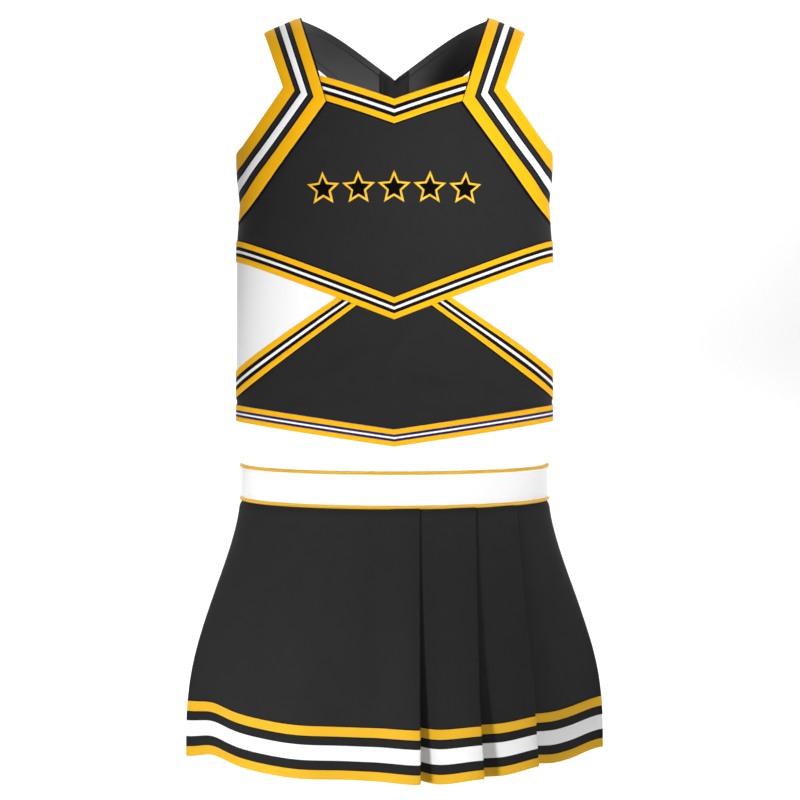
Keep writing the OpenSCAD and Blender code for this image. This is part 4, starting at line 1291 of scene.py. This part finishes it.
def piping(name, z, node):
    turns, sides = 260, 12
    gap = 0.004
    a = math.pi / 2 + gap + (2 * math.pi - 2 * gap) * np.linspace(0, 1, turns)
    centre = np.stack([(WAIST_HALF_W + 0.3) * np.cos(a), (WAIST_DEPTH + 0.3) * np.sin(a),
                       z - np.where(np.sin(a) < 0, WAIST_DIP[FRONT], WAIST_DIP[BACK])
                       * np.abs(np.sin(a))], -1)
    n = unit(np.stack([np.cos(a) / WAIST_HALF_W, np.sin(a) / WAIST_DEPTH, 0 * a], -1))
    up = np.array([0, 0, 1.0])
    end = np.clip(np.minimum(np.arange(turns), turns - 1 - np.arange(turns)) / 2.0, 0, 1)
    radius = PIPING_R * np.sqrt(np.clip(1 - (1 - end) ** 2, 0.04, 1))
    verts = np.stack([centre + (n * math.cos(b) + up * math.sin(b)) * radius[:, None]
                      for b in circle(sides)], 1).reshape(-1, 3)
    faces = ring_faces(turns, sides) + end_faces(turns, sides)
    run = np.concatenate([[0], np.cumsum(np.linalg.norm(np.diff(centre, axis=0), axis=1))])
    uv = np.stack([np.repeat(run, sides), np.tile(np.arange(sides) * 0.9, turns)], -1)
    make_piece(name, verts, faces, ["gold_piping"], "skirt", uv, [node])


# ---------- zips

TOP_ZIP_LEN, SKIRT_ZIP_LEN = 346.0, 150.0
SKIRT_ZIP_Z = WAIST_LOW - WAIST_DIP[BACK] - 2 * PIPING_R - 0.6
TAPE = (1.0, 14.0)
TOOTH_PITCH = 1.7
SLIDER_TOP, SLIDER_LEN, SLIDER_HALF = -2.5, 11.0, 4.2
BAR_Y, BAR_Z, BAR_R = 3.3, -8.0, 0.55
PULL_W, PULL_T, PULL_LEN = 5.2, 1.0, 24.0
STOP_Y = (-1.85, 0.1)


def hang(points, depth, top, slope):
    """Places drawn hanging from the origin, moved to the top of a leaning centre-back seam."""
    a = math.atan(slope)
    x, y, z = np.moveaxis(np.asarray(points, float), -1, 0)
    return np.stack([x, y * math.cos(a) - z * math.sin(a) + depth,
                     y * math.sin(a) + z * math.cos(a) + top], -1)


def prism(outline, hole, y0, y1, rim=0.18):
    """A plate with rounded rims: outline is its right half from top to bottom in x and z,
    and hole is (z, radius) or None."""
    right = list(outline)
    loop = right + [(-x, z) for x, z in right[::-1] if x > 1e-6]
    verts = []
    ring = np.array(loop)
    centre = ring.mean(axis=0)
    inner = ring + unit(centre - ring) * rim
    for y, r in ((y0, inner), (y0 + rim * 0.35, ring - (ring - inner) * 0.3), (y0 + rim, ring),
                 (y1 - rim, ring), (y1 - rim * 0.35, ring - (ring - inner) * 0.3), (y1, inner)):
        verts.extend([(x, y, z) for x, z in r])
    n = len(loop)
    faces = ring_faces(6, n)
    if hole is None:
        return verts, faces + end_faces(6, n)
    hz, hr = hole
    turns = 24
    base = len(verts)
    around = [2 * math.pi * k / turns for k in range(turns)]
    for y in (y0, y1):
        verts += [(hr * math.sin(a), y, hz + hr * math.cos(a)) for a in around]
    for side, row in ((0, 0), (1, 5 * n)):
        h = base + side * turns
        right_hole = [h + k for k in range(turns // 2 + 1)]
        left_hole = [h + k % turns for k in range(turns // 2, turns + 1)]
        faces.append([row + j for j in range(len(right))] + right_hole[::-1])
        faces.append([row + j % n for j in range(len(right) - 1, n + 1)][:n - len(right) + 2]
                     + left_hole[::-1])
    return verts, faces + [[base + i for i in face] for face in ring_faces(2, turns)]


def rounded(half, top, low, radius, steps=6, low_half=None):
    """Right half of a rounded outline, from top to bottom; low_half narrows the bottom."""
    low_half = half if low_half is None else low_half
    points = [(0.0, top)]
    turn = [QUARTER * k / steps for k in range(steps + 1)]
    points += [(half - radius + radius * math.sin(a), top - radius + radius * math.cos(a))
               for a in turn]
    points += [(low_half - radius + radius * math.cos(a), low + radius - radius * math.sin(a))
               for a in turn]
    return points + [(0.0, low)]


def brick(x0, x1, y0, y1, z0, z1, rim=0.25):
    verts, faces = prism(rounded((x1 - x0) / 2, z1, z0, min(0.4, (x1 - x0) / 3), 3), None,
                         y0, y1, rim)
    shift = (x0 + x1) / 2
    return [(x + shift, y, z) for x, y, z in verts], faces


def rod(start, end, radius, turns=16):
    """A round bar between two places."""
    a, b = np.array(start, float), np.array(end, float)
    t = unit(b - a)
    u = unit(np.cross(t, [0.3, 0.9, 0.2]))
    v = np.cross(t, u)
    verts = [a + (b - a) * s + radius * r * (u * math.cos(q) + v * math.sin(q))
             for s, r in ((0, 0.7), (0.04, 1), (0.96, 1), (1, 0.7)) for q in circle(turns)]
    return verts, ring_faces(4, turns) + end_faces(4, turns)


def gather(name, parts, place, material, body, replaces):
    """Several solid parts as one piece, hung at place or left where they are drawn."""
    verts, faces = joined(parts)
    spots = hang(verts, *place) if place else np.array(verts)
    make_piece(name, spots, faces, [material], body, np.array(verts)[:, [0, 2]],
               replaces)


def eye(radius, hole, half, turns=28):
    """A short tube round the bar."""
    rim = 0.15
    profile = ((-half, hole), (-half, radius - rim), (-half + rim, radius),
               (half - rim, radius), (half, radius - rim), (half, hole))
    verts = [(x, BAR_Y + r * math.cos(q), BAR_Z + r * math.sin(q))
             for x, r in profile for q in circle(turns)]
    return verts, ring_faces(6, turns, closed=True)


def zip_tapes(word, length, place, body):
    for side, sign in SIDES:
        xs = sign * (TAPE[0] + (TAPE[1] - TAPE[0]) * spread(12, 13))
        x, z = np.meshgrid(xs, -length * spread(60, length))
        cord = 0.35 * np.exp(-((np.abs(x) - 3.6) / 0.5) ** 2)
        outer = hang(np.stack([x, -1.95 + cord, z], -1), *place)
        inner = hang(np.stack([x, -2.5 + 0 * x, z], -1), *place)
        tape = shell(f"{word}_zip_tape_{side}", outer, inner, ["zip_tape"], body, "zip_tape",
                     replaces=[word + "_zip_tapes"] if sign > 0 else [])
        declare(outer)


def zip_teeth(word, length, place, body):
    starts, ends = [], []
    for i in range(int((length - 8.5) / TOOTH_PITCH)):
        z = -2.6 - i * TOOTH_PITCH
        for sign, shift in ((1, 0.0), (-1, TOOTH_PITCH / 2)):
            starts.append((sign * 0.32, -1.05, z - shift))
            ends.append((sign * 3.0, -1.15, z - shift))
    starts, ends = hang(starts, *place), hang(ends, *place)
    ups = np.tile([[0.0, 1.0, 0.1]], (len(starts), 1))
    capsules(f"{word}_zip_coil", starts, ends, ups, 0.66, "zip_coil", body,
             [word + "_zip_teeth"])


def zip_slider(word, place):
    """Two plates joined by a post, with two lugs that hold the pull's bar."""
    shape = rounded(SLIDER_HALF, SLIDER_TOP, SLIDER_TOP - SLIDER_LEN, 1.6, 6, 3.3)
    lug = (1.4, BAR_Y + 0.95, BAR_Z - 1.1, BAR_Z + 1.1, 0.2)
    parts = [prism(shape, None, 0.4, 1.5), prism(shape, None, -4.0, -3.0),
             brick(-0.24, 0.24, -3.1, 0.5, -4.6, -3.0, 0.05),
             brick(1.45, 2.35, *lug), brick(-2.35, -1.45, *lug),
             rod((-1.7, BAR_Y, BAR_Z), (1.7, BAR_Y, BAR_Z), BAR_R)]
    gather(f"{word}_zip_slider_body", parts, place, "zip_metal", word + "_slider",
           [word + "_zip_slider"])


def zip_pull(word, place):
    neck = prism(rounded(1.2, BAR_Z - 1.1, BAR_Z - 5.2, 0.3, 3), None, BAR_Y - 0.5, BAR_Y + 0.5)
    blade = prism(rounded(PULL_W / 2, BAR_Z - 4.5, BAR_Z - PULL_LEN, 1.8, 6),
                  (BAR_Z - PULL_LEN + 5, 1.4), BAR_Y - PULL_T / 2, BAR_Y + PULL_T / 2)
    gather(f"{word}_zip_pull_tab", [eye(1.35, 0.75, 1.2), neck, blade], place, "zip_metal",
           word + "_pull", [word + "_zip_pull"])


def zip_pieces(word, length, place, body):
    """One closed zip: tapes, teeth, stops, slider and pull."""
    zip_tapes(word, length, place, body)
    zip_teeth(word, length, place, body)
    stops = [brick(0.9, 3, *STOP_Y, -2.0, 0.0), brick(-3, -0.9, *STOP_Y, -2.0, 0.0),
             brick(-3, 3, *STOP_Y, -length, -length + 3.5)]
    gather(f"{word}_zip_stop_clips", stops, place, "zip_metal", body, [word + "_zip_stops"])
    zip_slider(word, place)
    zip_pull(word, place)


# ---------- closure of the waistband

TAB = box_mm("waist_tab")
SNAP_X, SNAP_Z = (box_mm("snap_cap")[0][[0, 2]] + box_mm("snap_cap")[1][[0, 2]]) / 2
AXIS_R = 0.001  # radius of a turned part where it closes on its axis


def closure_tab():
    (x0, y0, z0), (x1, y1, z1) = TAB
    radius, inset = 5.0, 2.2
    us, vs = spread(30, x1 - x0), spread(20, z1 - z0)
    x = np.broadcast_to((x0 + (x1 - x0) * us)[None, :], (len(vs), len(us)))
    past = np.clip((x - (x1 - radius)) / radius, 0, 0.985)
    half = (z1 - z0) / 2 - radius + radius * np.sqrt(1 - past ** 2)
    z = (z0 + z1) / 2 + half * (1 - 2 * vs[:, None])
    near = np.minimum(np.minimum(x1 - x, x - x0), half - np.abs(z - (z0 + z1) / 2))
    seam = 0.28 * np.exp(-((near - inset) / 0.6) ** 2)
    crown = 0.25 * smooth(near / 2.0)
    outer = np.stack([x, y1 - 0.25 + crown - seam + 0 * z, z], -1)
    inner = np.stack([x, y0 + 0 * z, z], -1)
    tab = shell("waist_tab_cloth", outer, inner, ["white_knit"], "closure_tab", "white_knit",
                replaces=["waist_tab"])
    declare(outer)
    turn = radius - inset
    corners = [(x0 + inset, z1 - inset), (x1 - radius, z1 - inset)]
    corners += [(x1 - radius + turn * math.sin(a), z1 - radius + turn * math.cos(a))
                for a in np.linspace(0.1, QUARTER, 6)]
    half_path = np.array(corners + [(x1 - inset, (z0 + z1) / 2)])
    path = np.concatenate([half_path, half_path[::-1] * [1, -1] + [0, z0 + z1]])
    path3 = np.stack([path[:, 0], np.full(len(path), y1 - 0.2), path[:, 1]], -1)
    a, b, up = along_path(path3, np.tile([[0.0, 1.0, 0.0]], (len(path3), 1)), 2.6, 1.9)
    capsules("waist_tab_stitches", a, b, up, 0.2, "white_thread", "closure_tab")


def lathe(profile, turns=48):
    """A round piece about the snap's axis: profile is (radius, y) from one end to the other."""
    verts = [(SNAP_X + r * math.cos(q), y, SNAP_Z + r * math.sin(q))
             for r, y in profile for q in circle(turns)]
    return verts, ring_faces(len(profile), turns) + end_faces(len(profile), turns)


def snap():
    y0, y1 = TAB[0][1], TAB[1][1]
    cap_top = box_mm("snap_cap")[1][1]
    cap = [(2.45, y0 - 0.85), (2.5, y0 - 0.9), (4.2, y0 - 0.88), (4.4, y0 - 0.7),
           (4.4, y0 - 0.2), (4.2, y0 - 0.04), (2.5, y0 - 0.04), (2.5, y1 + 0.06),
           (5.1, y1 + 0.06), (5.45, y1 + 0.25), (5.4, y1 + 0.5), (4.9, y1 + 0.78),
           (4.4, y1 + 0.84), (4.1, y1 + 0.74), (3.6, y1 + 0.86), (2.4, y1 + 1.1), (1.0, cap_top),
           (AXIS_R, cap_top)]
    hollow = [(AXIS_R, y0 + 0.3), (2.2, y0 + 0.3), (2.35, y0 + 0.1)]
    gather("snap_cap_metal", [lathe(hollow + cap)], None, "snap_metal", "closure_tab",
           ["snap_cap"])
    low = WAIST_DEPTH + 0.1
    stud = [(AXIS_R, low), (4.2, low), (4.4, low + 0.15), (4.3, low + 0.35), (2.6, low + 0.4),
            (1.95, low + 0.6), (1.8, low + 1.0), (2.08, low + 1.35), (1.9, y0 - 0.02),
            (1.2, y0 + 0.08), (AXIS_R, y0 + 0.1)]
    gather("snap_stud_metal", [lathe(stud)], None, "snap_metal", "skirt", ["snap_stud"])


# ---------- build

front_cloths()
strap_cloths()
back_cloths()
bindings()
zip_guard()
braids()
stars()
skirt_cloths()
waistbands()
piping("waist_piping_top_cord", WAIST_TOP + PIPING_R + 0.1, "waist_piping_top")
piping("waist_piping_bottom_cord", WAIST_LOW - PIPING_R - 0.1, "waist_piping_bottom")
zip_pieces("top", TOP_ZIP_LEN, (depth_at(BACK, TOP_ZIP_Z), TOP_ZIP_Z, BACK_LEAN), "top")
zip_pieces("skirt", SKIRT_ZIP_LEN, (skirt_depth(BACK, SKIRT_ZIP_Z), SKIRT_ZIP_Z,
                                    SKIRT_BACK_SLOPE), "skirt")
closure_tab()
snap()
